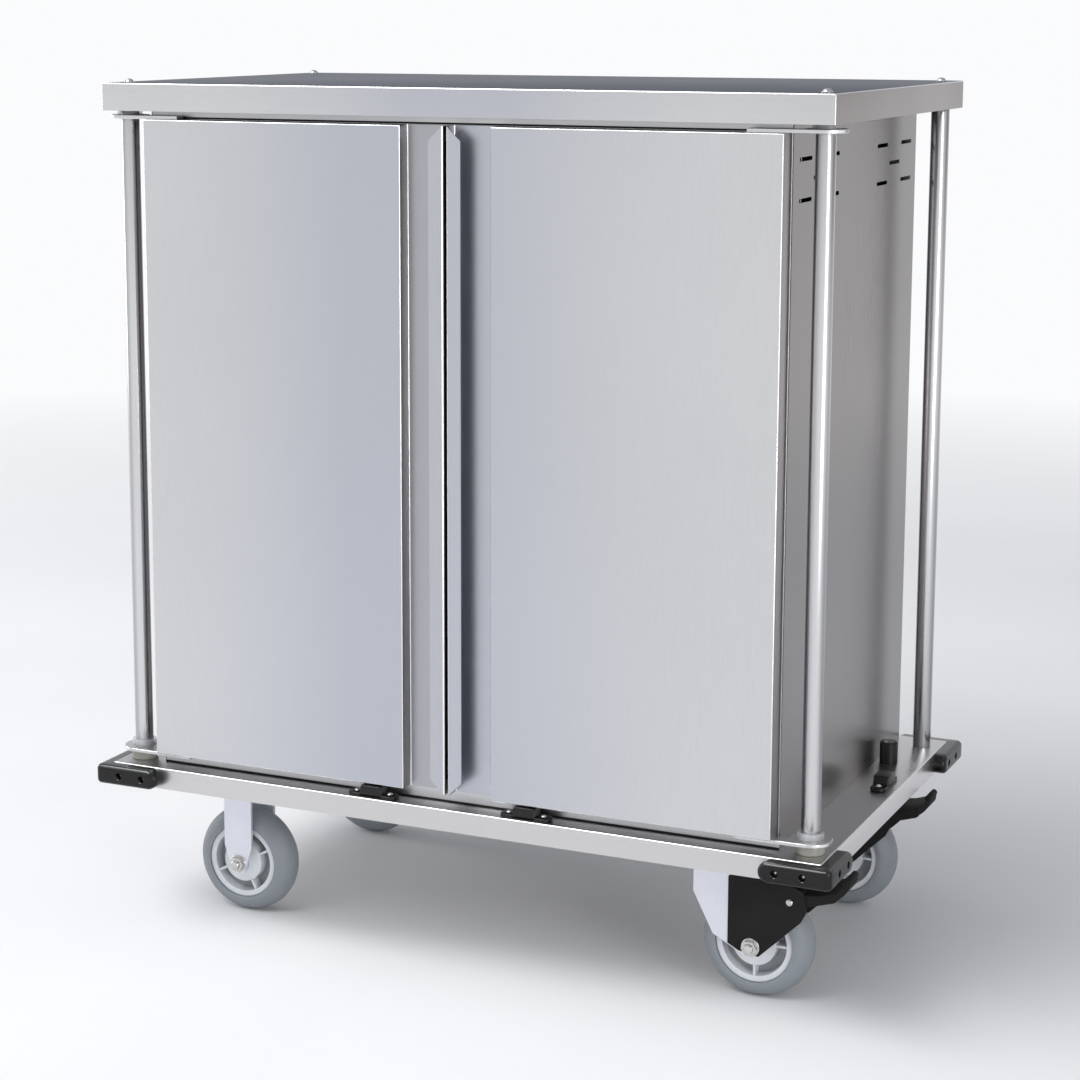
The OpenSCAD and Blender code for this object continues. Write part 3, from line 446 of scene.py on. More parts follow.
def steel(name, dark, light, roughness, spread, grain, grainBump=0.03, paintedPatch=None, paintedTopShade=None,
          paintedSideTone=None, paintedBendHighlight=None, paintedHighlightStripe=None):
    # Brushed stainless: fine stretched grain, soft smudges and a slightly uneven polish.
    # The patch is a broad, mostly bluish patch of painted reflection and shade: its centre, its reach and its
    # tint.
    # The top tone is painted shade: it darkens what faces up and dims its reflections. The side tone is
    # painted shade or light on what faces along X. The bend tone is a painted highlight that lightens the
    # folds and makes them a little glossier. The stripe is a painted highlight: a bright band along a round
    # tube.
    material, tree, shader = newMaterial(name)
    fine = noise(tree, coordinates(tree, grain), 1.0, 3.0, 0.6)
    soft = noise(tree, coordinates(tree), 2.6, 3.0, 0.5)
    wiped = noise(tree, coordinates(tree, (9, 9, 2.5)), 1.0, 4.0, 0.6)
    shade = weighted(tree, fine, 0.45, soft, 0.55)
    colour = blendColours(tree, remap(tree, shade, 0.3, 0.7), dark, light)
    # Painted reflection and shade: a broad patch of tint
    if paintedPatch:
        centre, reach, tint = paintedPatch
        around = coordinates(tree, reach, centre, "TEXTURE")
        spot = addNode(tree, "TexGradient", {"Vector": around}, gradient_type="QUADRATIC_SPHERE")
        colour = blendColours(tree, remap(tree, spot.outputs["Fac"], 0.0, 0.7), colour, tint)
    faceX, faceY, faceZ = faceDirection(tree)
    # Painted highlight: a bright band where a round tube faces along this direction
    if paintedHighlightStripe:
        bandX, bandY, paintedHighlightTone = paintedHighlightStripe
        lit = weighted(tree, faceX, bandX, faceY, bandY)
        band = remap(tree, maths(tree, "ABSOLUTE", lit), 0.78, 0.98)
        colour = blendColours(tree, band, colour, paintedHighlightTone)
    # Painted shade or light on faces along X
    if paintedSideTone:
        across = remap(tree, maths(tree, "ABSOLUTE", faceX), 0.85, 0.99)
        colour = blendColours(tree, across, colour, paintedSideTone)
    # Painted shade on what faces up: a darker colour and a dimmer reflection tint
    if paintedTopShade:
        level = remap(tree, faceZ, 0.80, 0.995)
        colour = blendColours(tree, level, colour, paintedTopShade)
        grazing = tuple(0.47 * channel for channel in paintedTopShade)
        fill(tree, shader, {"Specular Tint": blendColours(tree, level, (0.95, 0.95, 0.96), grazing)})
    polish = weighted(tree, fine, 0.5, wiped, 0.5)
    rough = remap(tree, polish, 0.3, 0.7, roughness - spread, roughness + spread)
    # Painted highlight on the folds, which are also made glossier
    if paintedBendHighlight:
        flat = maths(tree, "MAXIMUM", maths(tree, "ABSOLUTE", faceX), maths(tree, "ABSOLUTE", faceY))
        flat = maths(tree, "MAXIMUM", flat, maths(tree, "ABSOLUTE", faceZ))
        bend = remap(tree, flat, 0.97, 0.90)
        colour = blendColours(tree, bend, colour, paintedBendHighlight)
        rough = maths(tree, "SUBTRACT", rough, maths(tree, "MULTIPLY", bend, 0.06))
    fill(tree, shader, {"Base Color": colour, "Metallic": 1.0, "Roughness": rough})
    bump(tree, shader, fine, grainBump, 0.0004)
    return material


def plastic(name, dark, light, roughness, spread, scale, bumpStrength, specular=0.5, subsurface=0.0,
            alpha=1.0, paintedTopSheen=None):
    # Moulded or painted surface: mottled tone, pebbled bump and dull scuffs. A low alpha is clear plastic.
    # The top shine is a painted highlight: what faces up reflects more, up to this specular level.
    material, tree, shader = newMaterial(name)
    grain = noise(tree, coordinates(tree), scale, 4.0, 0.6)
    cloud = noise(tree, coordinates(tree), 14.0, 3.0, 0.6)
    scuff = noise(tree, coordinates(tree, (90, 90, 260)), 1.0, 5.0, 0.7)
    tone = weighted(tree, grain, 0.4, cloud, 0.6)
    colour = blendColours(tree, remap(tree, tone, 0.3, 0.7), dark, light)
    rough = remap(tree, maths(tree, "ADD", cloud, scuff), 0.7, 1.3, roughness - spread, roughness + spread)
    # Painted highlight: stronger reflection on faces that look up
    if paintedTopSheen:
        specular = remap(tree, faceDirection(tree)["Z"], 0.25, 0.95, specular, paintedTopSheen)
    fill(tree, shader, {"Base Color": colour, "Roughness": rough, "Specular IOR Level": specular,
                        "Alpha": alpha})
    if subsurface > 0:
        fill(tree, shader, {"Subsurface Weight": subsurface, "Subsurface Radius": (1.0, 0.8, 0.6),
                            "Subsurface Scale": 0.003})
    bump(tree, shader, grain, bumpStrength, 0.0003)
    return material


def zinc(name, dark, light, roughness, metallic, bumpStrength):
    # Bright zinc plate: faint spangle, cloudy tone, soft shine
    material, tree, shader = newMaterial(name)
    cells = addNode(tree, "TexVoronoi", {"Scale": 260.0, "Vector": coordinates(tree)})
    cloud = noise(tree, coordinates(tree), 22.0, 4.0, 0.6)
    fine = noise(tree, coordinates(tree), 900.0, 2.0, 0.6)
    tone = weighted(tree, cells.outputs["Distance"], 0.12, cloud, 0.95)
    colour = blendColours(tree, remap(tree, tone, 0.3, 0.8), dark, light)
    rough = remap(tree, cloud, 0.3, 0.7, roughness - 0.07, roughness + 0.07)
    fill(tree, shader, {"Base Color": colour, "Metallic": metallic, "Roughness": rough})
    bump(tree, shader, fine, bumpStrength, 0.0002)
    return material


# A brushed grain is a scale along each axis, low where it runs: up the doors, and along the deck and canopy
grainUp = (520, 520, 40)
grainAlong = (50, 520, 520)
# Painted highlight colour for the folds
paintedFoldHighlight = (0.84, 0.84, 0.84)
# Painted shade for the doors' sides, which face along X
paintedPullSideShade = (0.34, 0.325, 0.325)
finish = {
    # The doors' steel: a painted bluish reflection patch over their middle, painted shade on their sides,
    # painted highlights on their folds
    "front": steel("frontStainless", (0.62, 0.62, 0.625), (0.68, 0.68, 0.685), 0.32, 0.03, grainUp,
                   paintedPatch=((-0.05, -0.28, 0.7), (0.60, 2.0, 6.0), (0.50, 0.52, 0.57)),
                   paintedSideTone=paintedPullSideShade, paintedBendHighlight=paintedFoldHighlight),
    "frame": steel("frameStainless", (0.58, 0.58, 0.59), (0.64, 0.64, 0.65), 0.34, 0.03, grainAlong),
    # The canopy's steel: a painted bluish reflection patch along the fascia, painted shade on its top and
    # sides, painted highlights on its folds
    "canopy": steel("canopyStainless", (0.60, 0.60, 0.605), (0.66, 0.66, 0.66), 0.33, 0.03, grainAlong,
                    paintedPatch=((0.02, -0.297, 1.168), (0.42, 0.3, 2.0), (0.515, 0.525, 0.575)),
                    paintedTopShade=(0.40, 0.42, 0.465), paintedSideTone=(0.33, 0.308, 0.305), paintedBendHighlight=paintedFoldHighlight),
    # The deck's steel: its sides painted lighter as painted light, its folds with painted highlights
    "satin": steel("deckStainless", (0.59, 0.585, 0.585), (0.65, 0.64, 0.64), 0.30, 0.03, grainAlong,
                   paintedSideTone=(0.88, 0.85, 0.85), paintedBendHighlight=(0.74, 0.74, 0.74)),
    # The recess steel, for the left door's pull, is the doors' steel painted darker as shade, with a darker
    # patch along its middle
    "recess": steel("recessStainlessPaintedShade", (0.485, 0.495, 0.53), (0.535, 0.545, 0.58), 0.32, 0.03, grainUp,
                    paintedPatch=((-0.034, -0.272, 0.69), (0.2, 0.02, 6.0), (0.43, 0.435, 0.46)),
                    paintedSideTone=paintedPullSideShade, paintedBendHighlight=paintedFoldHighlight),
    # The end walls' steel is the stainless painted dark as shade, and lighter towards the bottom as painted
    # reflection
    "panel": steel("panelStainlessPaintedShade", (0.188, 0.176, 0.176), (0.216, 0.203, 0.203), 0.26, 0.02, (420, 420, 6),
                   0.012, paintedPatch=((0.0, 0.0, 0.1), (3.0, 3.0, 1.2), (0.350, 0.334, 0.334))),
    # The back panel's steel is a darker copy of the doors' steel, partly painted shade, between theirs and
    # the end walls'
    "rear": steel("rearStainlessPaintedShade", (0.40, 0.395, 0.395), (0.45, 0.445, 0.445), 0.28, 0.02, grainUp, 0.004),
    # The posts' steel: darker than the doors' as painted shade, with a painted highlight stripe along each
    # post
    "post": steel("postStainless", (0.42, 0.42, 0.44), (0.47, 0.465, 0.48), 0.24, 0.01, (4, 4, 700), 0.008,
                  paintedHighlightStripe=(0.42, -0.91, (0.68, 0.68, 0.69))),
    "inner": steel("innerStainless", (0.58, 0.58, 0.58), (0.66, 0.66, 0.66), 0.38, 0.05, (60, 420, 420)),
    # The bumpers' tops carry a painted highlight, a stronger reflection than their faces
    "bumper": plastic("bumperVinyl", (0.006, 0.006, 0.006), (0.011, 0.011, 0.011), 0.19, 0.04, 900.0, 0.03,
                      specular=0.28, paintedTopSheen=1.0),
    "plastic": plastic("blackPlastic", (0.006, 0.006, 0.006), (0.012, 0.012, 0.012), 0.30, 0.06, 1100.0,
                       0.04, specular=0.3),
    "rubber": plastic("blackRubber", (0.007, 0.007, 0.007), (0.013, 0.013, 0.013), 0.42, 0.08, 700.0, 0.06,
                      specular=0.25),
    # The spacers' nylon: its own beige, darkened partly as painted shade
    "nylon": plastic("nylon", (0.31, 0.30, 0.265), (0.39, 0.38, 0.335), 0.40, 0.08, 300.0, 0.03,
                     subsurface=0.4),
    "collar": plastic("collarNylon", (0.62, 0.62, 0.64), (0.70, 0.70, 0.72), 0.30, 0.06, 300.0, 0.03,
                      alpha=0.40),
    "fork": zinc("zincFork", (0.69, 0.70, 0.775), (0.77, 0.78, 0.845), 0.40, 0.55, 0.02),
    "fastener": zinc("zincFastener", (0.50, 0.50, 0.49), (0.68, 0.67, 0.65), 0.26, 0.95, 0.04),
    "washer": zinc("dullWasher", (0.42, 0.42, 0.42), (0.52, 0.52, 0.52), 0.45, 0.9, 0.03),
    "white": zinc("whiteFastener", (0.72, 0.72, 0.72), (0.86, 0.86, 0.86), 0.25, 0.60, 0.03),
    "blackMetal": plastic("blackMetal", (0.018, 0.017, 0.017), (0.025, 0.024, 0.024), 0.55, 0.08, 800.0,
                          0.04, specular=0.03),
    "core": plastic("wheelCore", (0.60, 0.62, 0.65), (0.68, 0.70, 0.73), 0.40, 0.08, 450.0, 0.04),
    # The wheel's web painted darker than the core: painted shade in the wheel's recess
    "webPaintedShade": plastic("wheelWebPaintedShade", (0.27, 0.28, 0.285), (0.33, 0.34, 0.345), 0.45, 0.08, 450.0, 0.04),
    "tyre": plastic("tyreRubber", (0.195, 0.218, 0.240), (0.255, 0.278, 0.300), 0.50, 0.10, 700.0, 0.10),
}
print("stage: materials made")


# Deck pan and canopy: both are sheets folded down on four sides
deck = {"length": 1050.0, "width": 604.0, "top": 228.0, "bottom": 198.0, "bend": 2.3, "corner": 2.0,
        "sheet": 1.5}
canopy = {"length": 1040.0, "width": 594.0, "top": 1186.5, "bottom": 1149.0, "bend": 2.0, "corner": 1.4,
          "sheet": 1.5}
for name, nodes, kind, size in (("deckPan", ["deck_pan", "deck_skirts"], "satin", deck),
                                ("canopyPan", ["canopy"], "canopy", canopy)):
    low = (-size["length"] / 2, -size["width"] / 2, size["bottom"])
    high = (size["length"] / 2, size["width"] / 2, size["top"])
    bm = foldedPan(low, high, (2, -1), size["bend"], size["corner"])
    sheetOf(piece(name, bm, "cart", nodes, kind), size["sheet"])
print("stage: deck and canopy")


# Posts and their cap screws
post = {"diameter": 25.4, "x": 497.6, "y": 261.7, "low": 228.0, "high": 1185.0, "chamfer": 0.8}
for word, y in ends:
    bm = bmesh.new()
    for x in (-1, 1):
        lathe(bm, roundedProfile(post["diameter"] / 2, post["low"], post["high"], post["chamfer"]),
              (x * post["x"], y * post["y"], 0), segments=96)
    piece(word + "Posts", bm, "cart", [word + "_posts"], "post")

capScrew = {"diameter": 15.0, "flange": 1.2, "height": 5.0, "sink": 1.0, "round": 0.4, "ledge": 1.3,
            "dome": 1.5}
r = capScrew["diameter"] / 2
c = capScrew["round"]
f = capScrew["flange"]
h = capScrew["height"]
s = capScrew["sink"]
profile = [(0.0, -s), (r, -s), (r, f - c), (r - c, f), (r - capScrew["ledge"], f)]
profile += dome(r - capScrew["dome"], f, h - f, (10, 25, 40, 55, 70, 82)) + [(0.0, h)]
bm = bmesh.new()
for x in (-1, 1):
    for y in (-1, 1):
        lathe(bm, profile, (x * post["x"], y * post["y"], canopy["top"]), segments=48)
piece("capScrews", bm, "cart", ["post_cap_bolts"], "fastener", 40)
print("stage: posts")


# Cabinet walls. The end walls carry two groups of five slots.
cabinet = {"outer": 459.0, "sheet": 1.5, "front": -268.0, "back": 279.0, "low": 228.0, "high": 1185.0,
           "edge": 0.35}
vents = {"length": 50.0, "height": 5.0, "stepY": 57.0, "stepZ": 25.5, "centreY": 5.5, "spread": 167.0,
         "z": 1078.0}
wall = [(cabinet["front"], cabinet["low"]), (cabinet["back"], cabinet["low"]),
        (cabinet["back"], cabinet["high"]), (cabinet["front"], cabinet["high"])]
slots = []
for group in (-1, 1):
    for j, k in ((-1, -1), (-1, 1), (0, 0), (1, -1), (1, 1)):
        y = vents["centreY"] + group * vents["spread"] + j * vents["stepY"]
        slots.append(stadium((y, vents["z"] + k * vents["stepZ"]), vents["length"], vents["height"]))
inside = cabinet["outer"] - cabinet["sheet"]
standing = Matrix(((0, 0, 1, inside), (1, 0, 0, 0), (0, 1, 0, 0), (0, 0, 0, 1)))
for word, side in flanks:
    bm = outlinePlate("endWall", [wall] + slots, cabinet["sheet"], cabinet["edge"], standing)
    piece(word + "EndWall", bm, "cart", [word + "_end_panel"], "panel", 14, side)
dressNode("back_panel", "rear", 0.4)
for nodeName, width in (("cabinet_floor", 0.0), ("cabinet_roof", 0.0), ("center_divider", 0.6),
                        ("rack_uprights", 0.5), ("left_bay_ledges", 0.4), ("right_bay_ledges", 0.4)):
    dressNode(nodeName, "inner", width)
fromNode("front_frame", "frontFrame", "frame", 1.4, 3)

# Black strips as painted shade: dark shadow lines along the foot of the cabinet's front and over the doors
shadowStrip = {"height": 2.3, "depth": 1.6, "end": 1.0, "sink": 0.2, "round": 0.6, "levels": (228.0, 1138.6)}
boxes = []
for z in shadowStrip["levels"]:
    boxes.append(((shadowStrip["end"] - cabinet["outer"], cabinet["front"] - shadowStrip["depth"], z),
                  (cabinet["outer"] - shadowStrip["end"], cabinet["front"] + shadowStrip["sink"], z + shadowStrip["height"])))
piece("paintedShadowStrips", roundedBoxes(boxes, shadowStrip["round"], 3), "cart", [], "rubber")
print("stage: cabinet")


# Doors: a folded face pan, and a recess with a web and a pull lip that is cut at 45 degrees
door = {"inner": 3.5, "outer": 455.5, "recess": 64.5, "front": -297.0, "back": -271.6, "floor": -275.0,
        "low": 247.0, "high": 1138.0, "lip": 19.5, "sheet": 1.5, "bend": 2.0, "corner": 1.4, "lap": 0.05,
        "flange": 5.0}
edgeSeal = {"thickness": 1.8, "inset": 2.6, "gap": 0.4, "round": 0.7, "low": 267.0, "high": 1118.0}
for word, side in flanks:
    body = word + "_door"
    bm = foldedPan((door["recess"], door["front"], door["low"]), (door["outer"], door["back"], door["high"]),
                   (1, 1), door["bend"], door["corner"])
    face = piece(word + "DoorFace", bm, body, [word + "_door_skin"], "front", side=side)
    sheetOf(face, door["sheet"])
    bm = bmesh.new()
    root = door["recess"] - door["lap"]
    path = [(root, door["floor"] - door["flange"], 0.0), (root, door["floor"], 0.0),
            (door["inner"], door["floor"], 0.0), (door["inner"], door["front"], 0.0),
            (door["inner"] + door["lip"], door["front"], door["lip"])]
    columns = []
    for x, y, cut in path:
        columns.append([bm.verts.new(Vector((x, y, z)) * millimetre)
                        for z in (door["low"] + cut, door["high"] - cut)])
    for first, second in zip(columns[:-1], columns[1:]):
        bm.faces.new((first[0], second[0], second[1], first[1]))
    bevelEdges(bm, [e for e in bm.edges if len(e.link_faces) == 2], door["bend"], 5)
    if side < 0:
        mirror(bm, leftRight)
    # The left pull takes the darker recess steel: painted shade
    kind = "recess" if side < 0 else "front"
    name = word + "DoorPull"
    pull = place(name, toMesh(bm, name, False), body, [word + "_door_skin"], kind)
    sheetOf(pull, door["sheet"])
    pull.modifiers["sheet"].offset = 1
    low = (door["inner"] - edgeSeal["thickness"], door["front"] + edgeSeal["inset"], edgeSeal["low"])
    high = (door["inner"], door["back"] - edgeSeal["gap"], edgeSeal["high"])
    seal = roundedBoxes([(low, high)], edgeSeal["round"], 3)
    piece(word + "EdgeSeal", seal, body, [], "rubber", side=side)
    dressNode(word + "_door_liner", "inner", 0.3)
    dressNode(word + "_door_gasket", "rubber", 0.6)
print("stage: doors")


# Hinge plates, their clear bushings and the nylon spacers on the posts
hinge = {"radius": 28.0, "inner": 405.6, "back": -271.6, "thickness": 5.0, "bore": 31.6, "edge": 0.9,
         "notchX": 26.2, "notchY": 9.9, "levels": (242.0, 1138.0)}
bushing = {"outer": 31.5, "bore": 26.2, "collar": 34.6, "collarHeight": 9.0}
x0 = post["x"]
y0 = -post["y"]
outline = [(hinge["inner"], y0 - hinge["radius"])] + arc((x0, y0), hinge["radius"], -90, 90, 48)
outline += [(x0 - hinge["notchX"], y0 + hinge["notchY"]), (x0 - hinge["notchX"], hinge["back"]),
            (hinge["inner"], hinge["back"])]
r0 = bushing["bore"] / 2
r1 = bushing["outer"] / 2
r2 = bushing["collar"] / 2
t = hinge["thickness"]
h = t + bushing["collarHeight"]
profile = [(r0, 0), (r1, 0), (r1, t), (r2 - 0.6, t), (r2, t + 0.6), (r2, h - 1.2), (r2 - 0.4, h - 0.4),
           (r2 - 1.2, h), (r0, h)]
for word, side in flanks:
    plates = bmesh.new()
    bushings = bmesh.new()
    for z in hinge["levels"]:
        loops = [outline, circle((x0, y0), hinge["bore"] / 2, 64)]
        mergeInto(plates, outlinePlate("hingePlate", loops, t, hinge["edge"], Matrix.Translation((0, 0, z))))
        lathe(bushings, profile, (x0, y0, z), segments=72, closed=True)
    piece(word + "HingePlates", plates, word + "_door", [word + "_hinge_plates"], "front", 14, side)
    piece(word + "HingeBushings", bushings, word + "_door", [word + "_hinge_bushings"], "collar", side=side)

spacer = {"outer": 37.4, "bore": 25.5, "levels": ((228.0, 241.7), (1152.3, 1185.0)), "round": 1.2}
r0 = spacer["bore"] / 2
r1 = spacer["outer"] / 2
c = spacer["round"]
bm = bmesh.new()
for x in (-1, 1):
    for z0, z1 in spacer["levels"]:
        profile = [(r0, z0), (r1 - c, z0), (r1, z0 + c), (r1, z1 - c), (r1 - 0.3 * c, z1 - 0.3 * c),
                   (r1 - c, z1), (r0, z1)]
        lathe(bm, profile, (x * post["x"], -post["y"], 0), segments=72, closed=True)
piece("hingeSpacers", bm, "cart", ["hinge_spacers"], "nylon")
print("stage: hinges")


# Bumpers, catches and stops
bumper = {"reach": 98.0, "depth": 18.6, "height": 28.0, "middle": 213.0, "edge": 6.5, "corner": 8.0,
          "screws": (38.0, 75.0), "hole": 9.4, "holeDepth": 9.3, "holeLead": 0.7, "layers": 7}


def bumperPoint(along, level, depth, turn):
    # From a place along the bent outline to the corner at +X and -Y. Along runs from the front arm's end,
    # below 0, to the side arm's end; at 0 the outline turns about a point near the outer corner.
    x0 = deck["length"] / 2
    y0 = -deck["width"] / 2
    hub = bumper["depth"] - bumper["corner"]
    inner = min(depth, hub)
    if along < 0:
        return (min(x0 + hub + along, x0 + inner), y0 - depth, level)
    if along > 0:
        return (x0 + depth, max(y0 - hub + along, y0 - inner), level)
    out = max(depth - hub, 0.0)
    return (x0 + inner + out * sin(turn), y0 - inner - out * cos(turn), level)


def bumperRing(inset, depth):
    # One layer of the rounded shape: the outline drawn in by an inset, at a depth out from the deck
    radius = bumper["height"] / 2 - inset
    straight = bumper["reach"] - bumper["corner"] - bumper["height"] / 2
    quarter = [radians(90.0 * i / 12) for i in range(1, 12)]
    steps = [-straight * (1 - k / 6) - 0.01 for k in range(7)]
    top = [(-straight - radius * cos(a), radius * sin(a), 0.0) for a in quarter]
    top += [(along, radius, 0.0) for along in steps]
    top += [(0.0, radius, radians(90.0 * k / 8)) for k in range(1, 8)]
    top += [(-along, radius, 0.0) for along in reversed(steps)]
    top += [(straight + radius * cos(a), radius * sin(a), 0.0) for a in reversed(quarter)]
    middle = bumper["middle"]
    ring = [bumperPoint(-straight - radius, middle, depth, 0.0)]
    ring += [bumperPoint(along, middle + z, depth, turn) for along, z, turn in top]
    ring += [bumperPoint(straight + radius, middle, depth, 0.0)]
    ring += [bumperPoint(along, middle - z, depth, turn) for along, z, turn in reversed(top)]
    return [Vector(p) * millimetre for p in ring]


def carve(bm, cutter, name):
    # Cuts one mesh out of another with a boolean modifier and gives the result back
    holders = [addObject(name, toMesh(shape, name)) for shape in (bm, cutter)]
    cut = holders[0].modifiers.new("cut", "BOOLEAN")
    cut.operation = "DIFFERENCE"
    cut.solver = "EXACT"
    cut.object = holders[1]
    result = takeMesh(holders[0])
    for holder in holders:
        mesh = holder.data
        bpy.data.objects.remove(holder)
        bpy.data.meshes.remove(mesh)
    return result


outer = (deck["length"] / 2 + bumper["depth"], -deck["width"] / 2 - bumper["depth"])
r = bumper["hole"] / 2
wide = r + bumper["holeLead"]
d = bumper["holeDepth"]
profile = [(0.0, -d), (r, -d), (r, -0.6), (wide, 0.1), (wide, 2.0), (0.0, 2.0)]
edge = bumper["edge"]
layers = [(0.0, 0.0)]
for i in range(bumper["layers"] + 1):
    a = radians(90.0 * i / bumper["layers"])
    layers.append((edge * (1 - cos(a)), bumper["depth"] - edge + edge * sin(a)))
for word in ("front_left", "front_right", "rear_left", "rear_right"):
    first, second = word.split("_")
    bm = bmesh.new()
    rings = [[bm.verts.new(p) for p in bumperRing(inset, depth)] for inset, depth in layers]
    bridge(bm, rings)
    count = len(rings[0])
    half = (count - 2) // 2
    for ring in (rings[0], rings[-1]):
        bm.faces.new((ring[0], ring[1], ring[count - 1]))
        for i in range(1, half):
            bm.faces.new((ring[i], ring[i + 1], ring[count - i - 1], ring[count - i]))
        bm.faces.new((ring[half], ring[half + 1], ring[half + 2]))
    bmesh.ops.remove_doubles(bm, verts=bm.verts, dist=2e-5)
    drills = bmesh.new()
    for s in bumper["screws"]:
        lathe(drills, profile, (outer[0] - s, outer[1], bumper["middle"]), axis="-Y", segments=32)
        lathe(drills, profile, (outer[0], outer[1] + s, bumper["middle"]), axis="X", segments=32)
    bm = carve(bm, drills, "bumper" + word)
    if second == "left":
        mirror(bm, leftRight)
    if first == "rear":
        mirror(bm, frontBack)
    piece("bumper" + first.title() + second.title(), bm, "cart", ["bumper_" + word], "bumper", 38)
fromNode("bumper_screws", "bumperScrews", "fastener", 0.0, 2, 50.0)

catch = {"length": 72.0, "width": 22.0, "ear": 5.5, "height": 17.0, "foot": 36.0, "top": 29.0, "corner": 9.0,
         "edge": 1.4, "gap": 50.0, "hole": 4.4, "ring": 11.5, "ringHeight": 1.0, "wedgeRound": 1.6,
         "front": (114.0, -288.5), "end": (502.0, 53.0)}


def catchInto(bm, matrix):
    # A door catch about its own middle, its length along X: a rounded plate, a wedge and rings at the screws
    half = catch["length"] / 2 - catch["corner"]
    deep = catch["width"] / 2 - catch["corner"]
    outline = []
    for sx, sy, start in ((1, 1, 0), (-1, 1, 90), (-1, -1, 180), (1, -1, 270)):
        outline += arc((sx * half, sy * deep), catch["corner"], start, start + 90, 8)
    holes = [circle((side * catch["gap"] / 2, 0), catch["hole"] / 2, 24) for side in (-1, 1)]
    mergeInto(bm, outlinePlate("catchPlate", [outline] + holes, catch["ear"], catch["edge"], matrix))
    wedge = bmesh.new()
    corners = ((-catch["foot"] / 2, 0.5), (catch["foot"] / 2, 0.5), (catch["top"] / 2, catch["height"]),
               (-catch["top"] / 2, catch["height"]))
    sides = []
    for y in (-catch["width"] / 2, catch["width"] / 2):
        sides.append([wedge.verts.new(Vector((x, y, z)) * millimetre) for x, z in corners])
    wedge.faces.new(sides[0])
    wedge.faces.new(list(reversed(sides[1])))
    for i in range(4):
        j = (i + 1) % 4
        wedge.faces.new((sides[0][j], sides[0][i], sides[1][i], sides[1][j]))
    bevelEdges(wedge, wedge.edges[:], catch["wedgeRound"], 4)
    r0 = catch["hole"] / 2
    r1 = catch["ring"] / 2
    z0 = catch["ear"] - 0.5
    z1 = catch["ear"] + catch["ringHeight"]
    ring = [(r0 + 2.6, z0), (r1, z0), (r1, z1 - 0.5), (r1 - 0.5, z1), (r0 + 2.9, z1), (r0 + 2.6, z1 - 0.3)]
    for side in (-1, 1):
        lathe(wedge, ring, (side * catch["gap"] / 2, 0, 0), segments=36, closed=True)
    moveBy(wedge, matrix)
    mergeInto(bm, wedge)


bm = bmesh.new()
across = Matrix.Rotation(radians(90), 4, "Z")
for side in (-1, 1):
    x, y = catch["front"]
    catchInto(bm, Matrix.Translation((side * x, y, deck["top"])))
    x, y = catch["end"]
    catchInto(bm, Matrix.Translation((side * x, y, deck["top"])) @ across)
piece("doorCatches", bm, "cart", ["door_catches"], "plastic", 34)
fromNode("catch_screws", "catchScrews", "white", 0.0, 2, 50.0)

# Rubber stops. The thin washer in each is a profile measured from the stop's top.
stop = {"diameter": 25.4, "height": 30.0, "x": 476.6, "y": 164.0, "round": 1.6, "foot": 0.4, "well": 5.5,
        "wellDepth": 0.6}
stopWasher = ((0.0, -1.6), (8.6, -1.6), (8.6, -0.5), (8.2, -0.1), (3.6, -0.1), (3.0, -0.6), (0.0, -0.6))
r = stop["diameter"] / 2
c = stop["round"]
f = stop["foot"]
h = stop["height"]
w = stop["well"]
d = stop["wellDepth"]
profile = [(0.0, 0.0), (r - f, 0.0), (r, f), (r, h - c), (r - 0.15 * c, h - 0.5 * c),
           (r - 0.5 * c, h - 0.15 * c), (r - c, h), (r - w, h), (r - w - 0.5, h - d), (0.0, h - d)]
stops = bmesh.new()
washers = bmesh.new()
for x in (-1, 1):
    here = (x * stop["x"], stop["y"], deck["top"])
    lathe(stops, profile, here, segments=64)
    lathe(washers, [(radius, h + level) for radius, level in stopWasher], here, segments=48)
piece("doorStops", stops, "cart", ["door_stops"], "rubber", 40)
piece("stopWashers", washers, "cart", [], "washer", 40)
for nodeName, kind, width in (("long_rails", "inner", 0.8), ("cross_rails", "inner", 0.8),
                              ("post_base_bolts", "fastener", 0.3)):
    dressNode(nodeName, kind, width)
print("stage: bumpers, catches and stops")


# Casters. The rigid pair is on the left and the swivel pair on the right.
caster = {"left": -366.0, "right": 409.0, "y": 193.0, "z": 76.2}
fromNode("rigid_forks", "rigidForks", "fork", 1.0, 3)
fromNode("swivel_plates", "swivelPlates", "fork", 0.8)
fromNode("kingpins", "kingpinsRound", "fastener", 0.5)
fromNode("caster_bolts", "casterBolts", "fastener", 0.4)

# Axles: a bolt with washer and nut on the outer side, a head on the inner side and a sleeve between
axle = {"radius": 6.35, "acrossFlats": 19.0, "height": 8.0, "end": 4.0, "washer": 12.6, "washerHeight": 1.6,
        "washerRound": 0.4, "sleeve": 9.5, "sleeveHalf": 29.9, "sleeveGap": 0.3, "rigidReach": 35.0}


